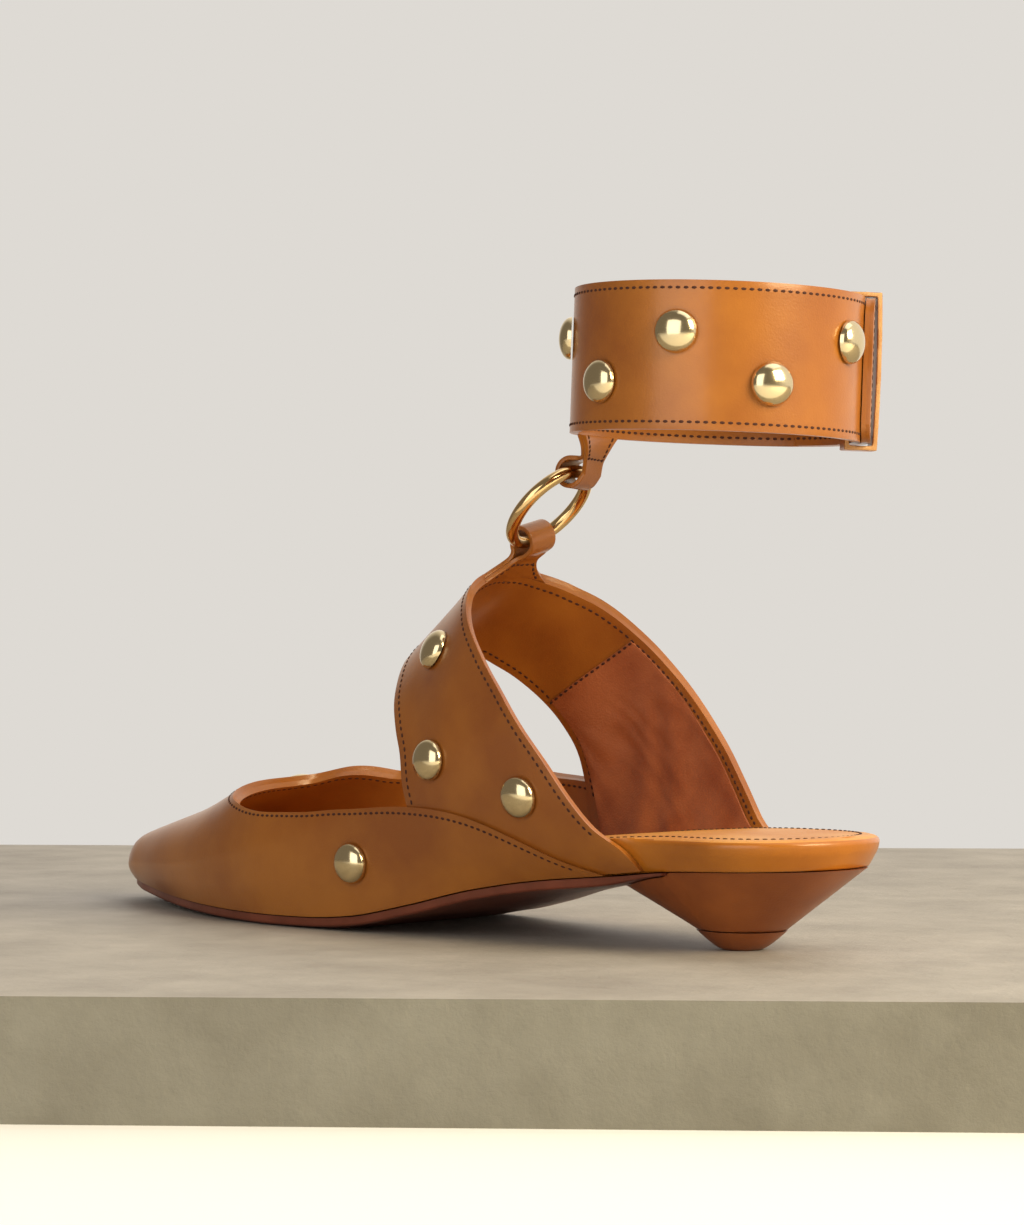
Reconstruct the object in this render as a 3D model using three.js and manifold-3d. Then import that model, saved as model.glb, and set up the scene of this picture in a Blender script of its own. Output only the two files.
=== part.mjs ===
// Low-heeled mule with a wide instep band, a ring link and an ankle cuff: the left shoe.
// Millimetres, +Z up, toe towards -Y, outer (lateral) side towards +X.
// Inside this file a place on the shoe is (along, across, high): "along" runs forward from
// the middle of the heel tip, "across" is positive on the outer side.
import * as THREE from "three";
import { mergeVertices } from "three/addons/utils/BufferGeometryUtils.js";
import Module from "manifold-3d";

const wasm = await Module();
wasm.setup();

// Driving dimensions
const seatBack = 36;          // heel tip centre back to the rear of the seat
const shoeLength = 264;       // rear of the seat to the tip of the toe
const ballWidth = 75;         // across the walls at the ball
const heelHeight = 21;        // floor to the underside of the footbed at the seat
const instepHeight = 95;      // floor to the top of the band's rear edge
const bandWall = 2.0;         // upper leather and lining of the instep band
const vampStep = 1.0;         // extra leather where the vamp overlays the band
const liningStep = 0.25;      // the vamp's lining stands this much further out
const seatWidth = 55.4;       // widest part of the footbed rim
const rimFlare = 2.6;         // how far the rim leans out from bottom to top
const seatThickness = 8.3;    // footbed thickness at the seat
const soleEdge = 2.3;         // outsole thickness at its edge
const heelTopLength = 67.2;   // heel breast to heel back, at the top
const heelTopWidth = 49;      // heel width at the top
const heelNeckLength = 23.6;  // heel length where it meets the top lift
const heelNeckWidth = 21.6;
const liftHeight = 4.9;       // top lift
const liftFlat = 9.6;         // its flat on the floor
const ringRadius = 12.3;      // ring, to the middle of its wire
const ringWire = 1.7;         // wire radius
const tabLeather = 1.5;       // leather of the loops round the ring
const tabThickness = 2.4;     // where both plies of a tab lie together
const cuffRadius = 36.4;      // outer face of the cuff
const cuffHeight = 36.2;
const cuffBottom = 127.5;     // floor to the lower edge of the cuff
const cuffWall = 2.2;
const cuffAlong = 9.7;        // middle of the cuff, forward of the heel tip
const cuffAcross = -2;        // and to the inner side of it
const cuffLap = 62;           // degrees by which the strap's ends overlap
const cuffLean = 2.1;         // degrees by which the cuff leans back and to the inner side
const keeperWidth = 7;
const keeperLeather = 1.2;
const studWidth = 10.8;
const studHeight = 3.6;
const gap = 0.3;              // between pieces that meet

// Mesh steps
const edgeSteps = 30;
const aroundRing = 32;

const TAU = Math.PI * 2;
const rad = (degrees) => degrees * Math.PI / 180;
const toeAt = shoeLength - seatBack;
const place = (along, across, high) => new THREE.Vector3(across, -along, high);
const mix = (a, b, share) => a + (b - a) * share;
const clamp01 = (x) => Math.min(1, Math.max(0, x));
const smooth = (low, high, x) => {
  const s = clamp01((x - low) / (high - low));
  return s * s * (3 - 2 * s);
};

// A smooth curve through the rows of a table that never overshoots them
function curveOf(rows, key, value) {
  const x = rows.map((row) => row[key]);
  const y = rows.map((row) => row[value]);
  const slope = x.slice(1).map((end, i) => (y[i + 1] - y[i]) / (end - x[i]));
  const tangent = x.map((_, i) => {
    if (i === 0) return slope[0];
    if (i === x.length - 1) return slope[i - 1];
    if (slope[i - 1] * slope[i] <= 0) return 0;
    return 2 * slope[i - 1] * slope[i] / (slope[i - 1] + slope[i]);
  });
  return (at) => {
    if (at <= x[0]) return y[0];
    if (at >= x[x.length - 1]) return y[x.length - 1];
    const i = x.findIndex((end) => end > at) - 1;
    const h = x[i + 1] - x[i];
    const s = (at - x[i]) / h;
    const rise = y[i + 1] - y[i];
    const cubic = tangent[i] * h + tangent[i + 1] * h - 2 * rise;
    const square = 3 * rise - 2 * tangent[i] * h - tangent[i + 1] * h;
    return y[i] + s * (tangent[i] * h + s * (square + s * cubic));
  };
}

// The last. at: share of the shoe's length from the rear of the seat. outer and inner: half
// widths at the featherline, wide: the fullest half width, all as shares of the ball width.
// feather: height of the featherline, a share of the heel height. ridge: height of the
// last's ridge, a share of the instep height. full: 0 a full section, 1 a roof-like one.
const lastTable = [
  { at: 0.000, outer: 0.310, inner: 0.310, wide: 0.410, feather: 1.020, ridge: 1.730, full: 0.0 },
  { at: 0.140, outer: 0.316, inner: 0.314, wide: 0.425, feather: 0.965, ridge: 1.610, full: 0.0 },
  { at: 0.212, outer: 0.315, inner: 0.302, wide: 0.457, feather: 0.875, ridge: 1.470, full: 0.0 },
  { at: 0.307, outer: 0.336, inner: 0.292, wide: 0.477, feather: 0.757, ridge: 1.263, full: 0.1 },
  { at: 0.383, outer: 0.372, inner: 0.318, wide: 0.475, feather: 0.600, ridge: 1.095, full: 0.3 },
  { at: 0.458, outer: 0.412, inner: 0.374, wide: 0.453, feather: 0.370, ridge: 0.930, full: 0.8 },
  { at: 0.534, outer: 0.434, inner: 0.416, wide: 0.453, feather: 0.186, ridge: 0.760, full: 1.0 },
  { at: 0.591, outer: 0.444, inner: 0.440, wide: 0.465, feather: 0.138, ridge: 0.623, full: 0.6 },
  { at: 0.648, outer: 0.440, inner: 0.446, wide: 0.468, feather: 0.129, ridge: 0.521, full: 0.2 },
  { at: 0.705, outer: 0.416, inner: 0.430, wide: 0.450, feather: 0.133, ridge: 0.445, full: 0.0 },
  { at: 0.761, outer: 0.376, inner: 0.398, wide: 0.412, feather: 0.148, ridge: 0.357, full: 0.0 },
  { at: 0.818, outer: 0.314, inner: 0.342, wide: 0.354, feather: 0.171, ridge: 0.291, full: 0.0 },
  { at: 0.875, outer: 0.240, inner: 0.272, wide: 0.282, feather: 0.210, ridge: 0.244, full: 0.0 },
  { at: 0.932, outer: 0.150, inner: 0.184, wide: 0.192, feather: 0.257, ridge: 0.200, full: 0.0 },
  { at: 0.970, outer: 0.094, inner: 0.124, wide: 0.134, feather: 0.295, ridge: 0.168, full: 0.0 },
  { at: 1.000, outer: 0.060, inner: 0.080, wide: 0.090, feather: 0.324, ridge: 0.137, full: 0.0 },
];

// Half of a section from the ridge (turn 0) down to the featherline (turn 1), as shares of
// the fullest half width. rear: behind the band, roof: at its front edge.
const sectionTable = [
  { turn: 0.00, rear: 0.000, roof: 0.000 },
  { turn: 0.15, rear: 0.300, roof: 0.228 },
  { turn: 0.30, rear: 0.580, roof: 0.455 },
  { turn: 0.45, rear: 0.782, roof: 0.670 },
  { turn: 0.60, rear: 0.915, roof: 0.870 },
  { turn: 0.70, rear: 0.972, roof: 0.955 },
  { turn: 0.80, rear: 1.000, roof: 1.000 },
  { turn: 0.90, rear: 0.970, roof: 0.990 },
  { turn: 1.00, rear: 0.900, roof: 0.950 },
];

const lastCurve = {};
for (const column of ["outer", "inner", "wide", "feather", "ridge", "full"]) {
  lastCurve[column] = curveOf(lastTable, "at", column);
}
const rearSection = curveOf(sectionTable, "turn", "rear");
const roofSection = curveOf(sectionTable, "turn", "roof");

const noseLength = 15;        // the toe's rounding, seen from above
const skirtTurn = 0.78;       // below this turn the wall runs in to the featherline
const skirtPower = { rear: 8, fore: 2 };  // how late it does so, behind and ahead of the waist
const toeDrift = 2.4;         // the tip lies this far to the inner side

const shareAt = (along) => (along + seatBack) / shoeLength;
const featherHeight = (along) => heelHeight * lastCurve.feather(shareAt(along));
const noseRound = (along, power) => {
  const s = clamp01((along - (toeAt - noseLength)) / noseLength);
  return Math.pow(1 - Math.pow(s, power), 1 / power);
};
const drift = (along) => -toeDrift * smooth(toeAt * 0.6, toeAt, along);

// Half width of the last at one station and turn, on one side
function lastHalfWidth(along, turn, side, out) {
  const at = shareAt(along);
  const b = Math.abs(turn);
  const section = mix(rearSection(b), roofSection(b), lastCurve.full(at));
  const foot = mix(rearSection(1), roofSection(1), lastCurve.full(at));
  const wide = lastCurve.wide(at) * ballWidth;
  const feather = (side > 0 ? lastCurve.outer(at) : lastCurve.inner(at)) * ballWidth;
  const power = mix(skirtPower.rear, skirtPower.fore, smooth(0.2, 0.42, at));
  const low = Math.pow(clamp01((b - skirtTurn) / (1 - skirtTurn)), power);
  const width = wide * section + (feather - wide * foot) * low;
  return (width + out * Math.min(1, b * 6)) * noseRound(along, 2);
}

// A point of the last: turn runs from 1 (outer featherline) over 0 (ridge) to -1 (inner
// featherline), out is how far the surface stands outside the foot side.
function lastPoint(along, turn, out) {
  const side = turn < 0 ? -1 : 1;
  const foot = featherHeight(along) + gap;
  const ridge = lastCurve.ridge(shareAt(along)) * instepHeight;
  const rise = (ridge - foot + out) * noseRound(along, 2.5);
  const across = side * lastHalfWidth(along, turn, side, out) + drift(along);
  const forward = along + out * smooth(toeAt * 0.65, toeAt, along);
  return place(forward, across, foot + rise * (1 - turn * turn));
}

// The band between its two edges. turn as above, both sides alike.
const bandTable = [
  { turn: 0.00, back: 0.4356, front: 0.5284 },
  { turn: 0.15, back: 0.4310, front: 0.5235 },
  { turn: 0.30, back: 0.4180, front: 0.5160 },
  { turn: 0.40, back: 0.4030, front: 0.5065 },
  { turn: 0.53, back: 0.3780, front: 0.4905 },
  { turn: 0.65, back: 0.3460, front: 0.4720 },
  { turn: 0.73, back: 0.3190, front: 0.4590 },
  { turn: 0.80, back: 0.2920, front: 0.4520 },
  { turn: 0.86, back: 0.2640, front: 0.4430 },
  { turn: 0.91, back: 0.2390, front: 0.4340 },
  { turn: 0.95, back: 0.2140, front: 0.4240 },
  { turn: 0.98, back: 0.1850, front: 0.4140 },
  { turn: 1.00, back: 0.1760, front: 0.4050 },
];
const bandBack = curveOf(bandTable, "turn", "back");
const bandFront = curveOf(bandTable, "turn", "front");
const bandEdge = (edge, turn, side) => {
  const at = (edge === "back" ? bandBack : bandFront)(Math.abs(turn));
  return at * shoeLength - seatBack + side;
};

// The vamp's top line, from the outer wing round the throat to the inner wing
const topLine = [
  { step: 0.00, at: 0.2200, turn: 1.000 },
  { step: 0.05, at: 0.2580, turn: 0.982 },
  { step: 0.10, at: 0.3060, turn: 0.949 },
  { step: 0.16, at: 0.3680, turn: 0.900 },
  { step: 0.23, at: 0.4470, turn: 0.840 },
  { step: 0.30, at: 0.5250, turn: 0.785 },
  { step: 0.37, at: 0.6140, turn: 0.705 },
  { step: 0.42, at: 0.6780, turn: 0.625 },
  { step: 0.46, at: 0.7250, turn: 0.480 },
  { step: 0.49, at: 0.7500, turn: 0.260 },
  { step: 0.51, at: 0.7560, turn: 0.050 },
  { step: 0.53, at: 0.7510, turn: -0.070 },
  { step: 0.56, at: 0.7290, turn: -0.192 },
  { step: 0.60, at: 0.6940, turn: -0.427 },
  { step: 0.66, at: 0.5910, turn: -0.566 },
  { step: 0.71, at: 0.5150, turn: -0.725 },
  { step: 0.77, at: 0.4470, turn: -0.806 },
  { step: 0.84, at: 0.3680, turn: -0.890 },
  { step: 0.90, at: 0.3060, turn: -0.945 },
  { step: 0.95, at: 0.2580, turn: -0.982 },
  { step: 1.00, at: 0.2200, turn: -1.000 },
];
const topLineAt = curveOf(topLine, "step", "at");
const topLineTurn = curveOf(topLine, "step", "turn");
const tipStart = 0.44;        // steps between these two end in the tip of the toe
const tipEnd = 0.58;

// Where a column of the vamp that starts at one step of the top line meets the sole
function vampFoot(step) {
  const top = topLineAt(step) * shoeLength - seatBack;
  const reach = toeAt - topLineAt(tipStart) * shoeLength + seatBack;
  if (step < tipStart) {
    return { along: top + reach * smooth(0.16, tipStart, step), turn: 1 };
  }
  if (step > tipEnd) {
    const back = toeAt - topLineAt(tipEnd) * shoeLength + seatBack;
    return { along: top + back * smooth(0.84, tipEnd, step), turn: -1 };
  }
  return { along: toeAt, turn: 1 - 2 * (step - tipStart) / (tipEnd - tipStart) };
}
function vampPoint(step, down, out) {
  const foot = vampFoot(step);
  const along = mix(topLineAt(step) * shoeLength - seatBack, foot.along, down);
  return lastPoint(along, mix(topLineTurn(step), foot.turn, down), out);
}

// Solids from grids of points
function triangles(quads) {
  const list = [];
  for (const [a, b, c, d] of quads) {
    list.push(a, b, c, a, c, d);
  }
  return list;
}
function quadsOf(grid) {
  const quads = [];
  for (let i = 0; i + 1 < grid.length; i += 1) {
    for (let j = 0; j + 1 < grid[i].length; j += 1) {
      quads.push([grid[i][j], grid[i + 1][j], grid[i + 1][j + 1], grid[i][j + 1]]);
    }
  }
  return quads;
}
const mirrored = (quads) => quads.map(([a, b, c, d]) => [d, c, b, a]);

// Merges equal corners, drops empty triangles and turns the faces outwards
function closedGeometry(points) {
  const raw = new THREE.BufferGeometry().setFromPoints(points);
  const merged = mergeVertices(raw, 1e-4);
  const index = merged.index.array;
  const kept = [];
  for (let i = 0; i < index.length; i += 3) {
    const [a, b, c] = [index[i], index[i + 1], index[i + 2]];
    if (a !== b && b !== c && c !== a) kept.push(a, b, c);
  }
  merged.setIndex(kept);
  if (volumeOf(merged) < 0) merged.setIndex(kept.reverse());
  return merged;
}
function volumeOf(geometry) {
  const position = geometry.attributes.position;
  const index = geometry.index.array;
  const corner = (i) => new THREE.Vector3().fromBufferAttribute(position, index[i]);
  let six = 0;
  for (let i = 0; i < index.length; i += 3) {
    six += corner(i).dot(corner(i + 1).cross(corner(i + 2)));
  }
  return six / 6;
}

// A sheet with thickness: two grids of the same size, joined round their rim
function sheet(outer, inner) {
  const last = outer.length - 1;
  const side = outer[0].length - 1;
  const rim = [];
  for (let i = 0; i < last; i += 1) {
    rim.push([inner[i][0], inner[i + 1][0], outer[i + 1][0], outer[i][0]]);
    rim.push([outer[i][side], outer[i + 1][side], inner[i + 1][side], inner[i][side]]);
  }
  for (let j = 0; j < side; j += 1) {
    rim.push([outer[0][j], outer[0][j + 1], inner[0][j + 1], inner[0][j]]);
    rim.push([inner[last][j], inner[last][j + 1], outer[last][j + 1], outer[last][j]]);
  }
  return closedGeometry(triangles([...quadsOf(outer), ...mirrored(quadsOf(inner)), ...rim]));
}

// A stack of closed rings with fan caps
function loft(rings) {
  const closed = rings.map((ring) => [...ring, ring[0]]);
  const cap = (ring) => {
    const middle = ring.reduce((sum, p) => sum.add(p), new THREE.Vector3());
    middle.divideScalar(ring.length);
    return ring.map((p, i) => [middle, ring[(i + 1) % ring.length], p]).flat();
  };
  const bottom = cap(rings[0]).reverse();
  const top = cap(rings[rings.length - 1]);
  return closedGeometry([...bottom, ...triangles(quadsOf(closed)), ...top]);
}

// A long flat piece: levels of outline from bottom to top, with ladder caps across
function slab(stations, levels, edge, underside) {
  const across = 8;
  const ladder = (level, shape) => stations.map((s) => {
    const from = edge(s, 1, level);
    const to = edge(s, -1, level);
    const row = [];
    for (let j = 0; j <= across; j += 1) {
      const p = from.clone().lerp(to, j / across);
      p.z += shape(s, 2 * j / across - 1);
      row.push(p);
    }
    return row;
  });
  const rim = (rows) => {
    const first = rows[0];
    const last = rows[rows.length - 1];
    const outer = rows.map((row) => row[0]);
    const inner = rows.map((row) => row[across]).reverse();
    return [...outer, ...last.slice(1, across), ...inner, ...first.slice(1).reverse(), first[0]];
  };
  const floors = levels.map((level, i) => ladder(level, i === 0 ? underside : () => 0));
  const bottom = quadsOf(floors[0]);
  const top = mirrored(quadsOf(floors[floors.length - 1]));
  return closedGeometry(triangles([...quadsOf(floors.map(rim)), ...bottom, ...top]));
}

const solidOf = (geometry) => {
  const vertProperties = Float32Array.from(geometry.attributes.position.array);
  const triVerts = Uint32Array.from(geometry.index.array);
  return new wasm.Manifold(new wasm.Mesh({ numProp: 3, vertProperties, triVerts }));
};
const geometryOf = (solid) => {
  const mesh = solid.getMesh();
  const geometry = new THREE.BufferGeometry();
  geometry.setAttribute("position", new THREE.BufferAttribute(mesh.vertProperties, 3));
  geometry.setIndex(new THREE.BufferAttribute(mesh.triVerts, 1));
  return geometry;
};

// Finishes
const finish = (color, roughness, metalness) => (
  new THREE.MeshStandardMaterial({ color, roughness, metalness })
);
const calf = finish("#b5702f", 0.42, 0);
const footbedLeather = finish("#b87a3f", 0.5, 0);
const heelLeather = finish("#8a4a22", 0.45, 0);
const soleLeather = finish("#4a1f14", 0.4, 0);
const brass = finish("#d9bd7c", 0.28, 1);

const shoe = new THREE.Group();
const add = (name, geometry, material) => {
  const mesh = new THREE.Mesh(geometry, material);
  mesh.name = name;
  shoe.add(mesh);
};

// Rows of numbers that crowd towards both ends
const spread = (from, to, count) => Array.from({ length: count + 1 }, (_, i) => (
  mix(from, to, (1 - Math.cos(Math.PI * i / count)) / 2)
));
const evenly = (from, to, count) => Array.from({ length: count + 1 }, (_, i) => (
  mix(from, to, i / count)
));

// Upper: the instep band and the vamp over its lower ends, one hollow piece
const bandFootTurn = 0.9985;  // the band stops just above the sole
function bandSheet(low, high, margin) {
  const turns = spread(-bandFootTurn, bandFootTurn, edgeSteps);
  const grid = (out) => turns.map((turn) => (
    evenly(bandEdge("back", turn, -margin), bandEdge("front", turn, margin), 6)
      .map((along) => lastPoint(along, turn, out))
  ));
  return sheet(grid(high), grid(low));
}
function vampSheet(low, high) {
  const steps = [
    ...evenly(0, 0.16, 6),
    ...evenly(0.16, tipStart, 10).slice(1),
    ...evenly(tipStart, tipEnd, 12).slice(1),
    ...evenly(tipEnd, 0.84, 10).slice(1),
    ...evenly(0.84, 1, 6).slice(1),
  ];
  const grid = (out) => steps.map((step) => (
    evenly(0, 1, 8).map((down) => vampPoint(step, down, out))
  ));
  return sheet(grid(high), grid(low));
}
const band = solidOf(bandSheet(0, bandWall, 0));
const vamp = solidOf(vampSheet(liningStep, bandWall + vampStep));
add("upper", geometryOf(band.add(vamp)), calf);

// Outsole: rounded under the waist, flat under the ball, skived out under the seat
const soleTable = [
  { at: 0.150, middle: 0.918 },
  { at: 0.231, middle: 0.776 },
  { at: 0.258, middle: 0.710 },
  { at: 0.307, middle: 0.620 },
  { at: 0.360, middle: 0.510 },
  { at: 0.424, middle: 0.310 },
  { at: 0.470, middle: 0.210 },
  { at: 0.496, middle: 0.155 },
  { at: 0.523, middle: 0.090 },
  { at: 0.545, middle: 0.029 },
  { at: 0.564, middle: 0.000 },
  { at: 0.755, middle: 0.000 },
  { at: 0.818, middle: 0.019 },
  { at: 0.875, middle: 0.057 },
  { at: 0.932, middle: 0.119 },
  { at: 1.000, middle: 0.210 },
];
const soleMiddle = curveOf(soleTable, "at", "middle");
const soleRear = 4;           // the outsole's skived rear end
const soleInset = 0.7;        // the sole stands this much inside the upper
const soleFlatShare = 0.74;   // share of the forefoot's half width that lies flat
const soleRound = (along) => mix(2.2, 1.8, smooth(60, 100, along));
const soleFlat = (along) => soleFlatShare * smooth(60, 108, along);
const soleEdgeLow = (along) => {
  const skived = mix(0.7, soleEdge, smooth(soleRear, soleRear + 24, along));
  return featherHeight(along) - skived;
};
const soleLow = (along) => (
  Math.min(soleMiddle(shareAt(along)) * heelHeight, soleEdgeLow(along) - 0.05)
);
function soleHalfWidth(along, side) {
  const wall = bandWall + vampStep - soleInset;
  return lastHalfWidth(Math.min(along, toeAt), side, side, wall);
}
const soleLevels = [
  { high: 0, inset: 0.9 },
  { high: 0.35, inset: 0 },
  { high: 1, inset: 0 },
];
const soleStations = [
  ...evenly(soleRear, 60, 10),
  ...evenly(60, toeAt - noseLength, 14).slice(1),
  ...evenly(0, 1, 6).slice(1).map((s) => toeAt - noseLength * (1 - Math.sin(s * Math.PI / 2))),
];
function soleEdgePoint(along, side, level) {
  const half = Math.max(0, soleHalfWidth(along, side) - level.inset);
  const high = mix(soleEdgeLow(along), featherHeight(along), level.high);
  const wall = bandWall + vampStep - soleInset - level.inset;
  const forward = along + wall * smooth(toeAt * 0.65, toeAt, along);
  return place(forward, side * half + drift(along), high);
}
const soleBelly = (along, v) => {
  const flat = soleFlat(along);
  const out = clamp01((Math.abs(v) - flat) / (1 - flat));
  return (soleLow(along) - soleEdgeLow(along)) * (1 - Math.pow(out, soleRound(along)));
};
add("outsole", slab(soleStations, soleLevels, soleEdgePoint, soleBelly), soleLeather);

// Footbed: a thick rolled rim round the seat that runs on inside the upper
const bedTable = [
  { at: 0.000, top: 0.398 },
  { at: 0.060, top: 0.394 },
  { at: 0.140, top: 0.392 },
  { at: 0.189, top: 0.385 },
  { at: 0.239, top: 0.373 },
  { at: 0.288, top: 0.360 },
  { at: 0.326, top: 0.345 },
  { at: 0.364, top: 0.316 },
  { at: 0.420, top: 0.248 },
  { at: 0.477, top: 0.172 },
  { at: 0.534, top: 0.120 },
  { at: 0.591, top: 0.102 },
  { at: 0.700, top: 0.098 },
  { at: 0.850, top: 0.106 },
  { at: 1.000, top: 0.132 },
];
const bedHeight = curveOf(bedTable, "at", "top");
const bedTop = (along) => {
  const drop = (heelHeight + seatThickness) * (bedHeight(shareAt(along)) / bedTable[0].top);
  return drop;
};
const seatMiddle = 8;         // the seat's round centre lies this far behind the heel tip
const seatRound = seatWidth / 2;
const bedTip = toeAt - 9;     // the footbed ends inside the toe
const bedLevels = [
  { high: 0.00, inset: rimFlare },
  { high: 0.25, inset: 1.5 },
  { high: 0.60, inset: 0.25 },
  { high: 0.82, inset: 0 },
  { high: 0.94, inset: 0.7 },
  { high: 1.00, inset: 2.2 },
];
const bedWall = 0.35;         // clear of the upper's lining
function turnAtHeight(along, high) {
  const foot = featherHeight(along) + gap;
  const ridge = lastCurve.ridge(shareAt(along)) * instepHeight;
  return Math.sqrt(clamp01(1 - (high - foot) / ((ridge - foot) * noseRound(along, 2.5))));
}
function bedPoint(share, side, level) {
  const rear = -seatMiddle - seatRound + level.inset;
  const end = bedTip - level.inset * 0.3;
  const along = mix(rear, end, share);
  const bottom = featherHeight(along) + gap;
  const high = mix(bottom, bedTop(along), level.high);
  const back = clamp01((-seatMiddle - along) / (seatRound - level.inset));
  const rim = (seatRound - level.inset) * Math.sqrt(Math.max(0, 1 - back * back));
  const turn = side * turnAtHeight(along, high);
  const inside = lastHalfWidth(along, turn, side, 0) - bedWall;
  const tip = Math.sqrt(Math.max(0, 1 - Math.pow(clamp01((along - end + 16) / 16), 2)));
  const half = mix(rim, Math.min(inside, 36), smooth(4, 17, along)) * tip;
  return place(along, side * Math.max(0, half) + drift(along), high);
}
const bedStations = [
  ...evenly(0, 1, 8).map((s) => 0.115 * (1 - Math.cos(s * Math.PI / 2))),
  ...evenly(0.115, 0.93, 22).slice(1),
  ...evenly(0, 1, 6).slice(1).map((s) => 0.93 + 0.07 * Math.sin(s * Math.PI / 2)),
];
const bandRoom = solidOf(bandSheet(-gap, bandWall + gap, gap));
const vampRoom = solidOf(vampSheet(liningStep - gap, bandWall + vampStep + gap));
const bedBlank = solidOf(slab(bedStations, bedLevels, bedPoint, () => 0));
const footbed = bedBlank.subtract(bandRoom).subtract(vampRoom);
add("footbed", geometryOf(largestPart(footbed)), footbedLeather);

// Keeps the main body of a cut piece
function largestPart(solid) {
  const parts = solid.decompose();
  return parts.reduce((best, part) => (part.volume() > best.volume() ? part : best));
}

// Heel: an upturned oval cone, cut to the underside of footbed and outsole
const heelMiddle = -1.2;      // middle of its top, along the shoe
const underSeat = (along, across) => {
  if (along < soleRear) return featherHeight(along) + gap;
  const half = soleHalfWidth(along, Math.sign(across) || 1);
  return soleEdgeLow(along) + soleBelly(along, Math.min(1, Math.abs(across) / half));
};
const oval = (length, width, high, middle) => Array.from({ length: aroundRing }, (_, i) => {
  const turn = TAU * i / aroundRing;
  const along = middle + Math.cos(turn) * length / 2;
  return place(along, Math.sin(turn) * width / 2, high);
});
const heelOverrun = 1.3;      // the blank's sides run on past the cut
function heelBlank() {
  const neck = oval(heelNeckLength, heelNeckWidth, liftHeight + gap, 0);
  const top = oval(heelTopLength, heelTopWidth, 0, heelMiddle).map((p) => {
    p.z = underSeat(-p.y, p.x);
    return p;
  });
  const ring = (share) => neck.map((p, i) => p.clone().lerp(top[i], share));
  return loft([neck, ring(0.5), top, ring(heelOverrun)]);
}
function heelCut() {
  const alongs = [...evenly(-46, soleRear - 0.1, 10), ...evenly(soleRear, 46, 12)];
  const acrosses = evenly(-34, 34, 16);
  const floor = alongs.map((along) => acrosses.map((across) => (
    place(along, across, underSeat(along, across) - gap)
  )));
  const lid = floor.map((row) => row.map((p) => new THREE.Vector3(p.x, p.y, 70)));
  return sheet(lid, floor);
}
add("heel", geometryOf(solidOf(heelBlank()).subtract(solidOf(heelCut()))), heelLeather);

// Top lift: the cone goes on down to a small flat
const liftTable = [
  { high: 0.00, share: 0.00 },
  { high: 0.10, share: 0.17 },
  { high: 0.50, share: 0.58 },
  { high: 1.00, share: 1.00 },
];
add("top_lift", loft(liftTable.map(({ high, share }) => oval(
  mix(liftFlat, heelNeckLength, share), mix(liftFlat, heelNeckWidth, share), high * liftHeight, 0,
))), heelLeather);

// Ring: it stands tilted back between the two loops
const ringMiddle = place(63, 2.3, 111.2);
const ringNormal = place(0.721, 0.137, 0.68).normalize();
const ringUp = place(-0.686, 0, 0.7275).normalize();
const ringSwing = rad(11);    // both loops sit this far round the ring to its inner side
const ringAside = new THREE.Vector3().crossVectors(ringNormal, ringUp).normalize();
function ringGeometry() {
  const geometry = new THREE.TorusGeometry(ringRadius, ringWire, 10, 32);
  geometry.applyMatrix4(new THREE.Matrix4().makeBasis(ringUp, ringAside, ringNormal));
  geometry.translate(ringMiddle.x, ringMiddle.y, ringMiddle.z);
  return closedGeometry(cornersOf(geometry));
}
function cornersOf(geometry) {
  const flat = geometry.index ? geometry.toNonIndexed() : geometry;
  const array = flat.attributes.position.array;
  const corners = [];
  for (let i = 0; i < array.length; i += 3) {
    corners.push(new THREE.Vector3().fromArray(array, i));
  }
  return corners;
}
add("o_ring", ringGeometry(), brass);

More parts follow.
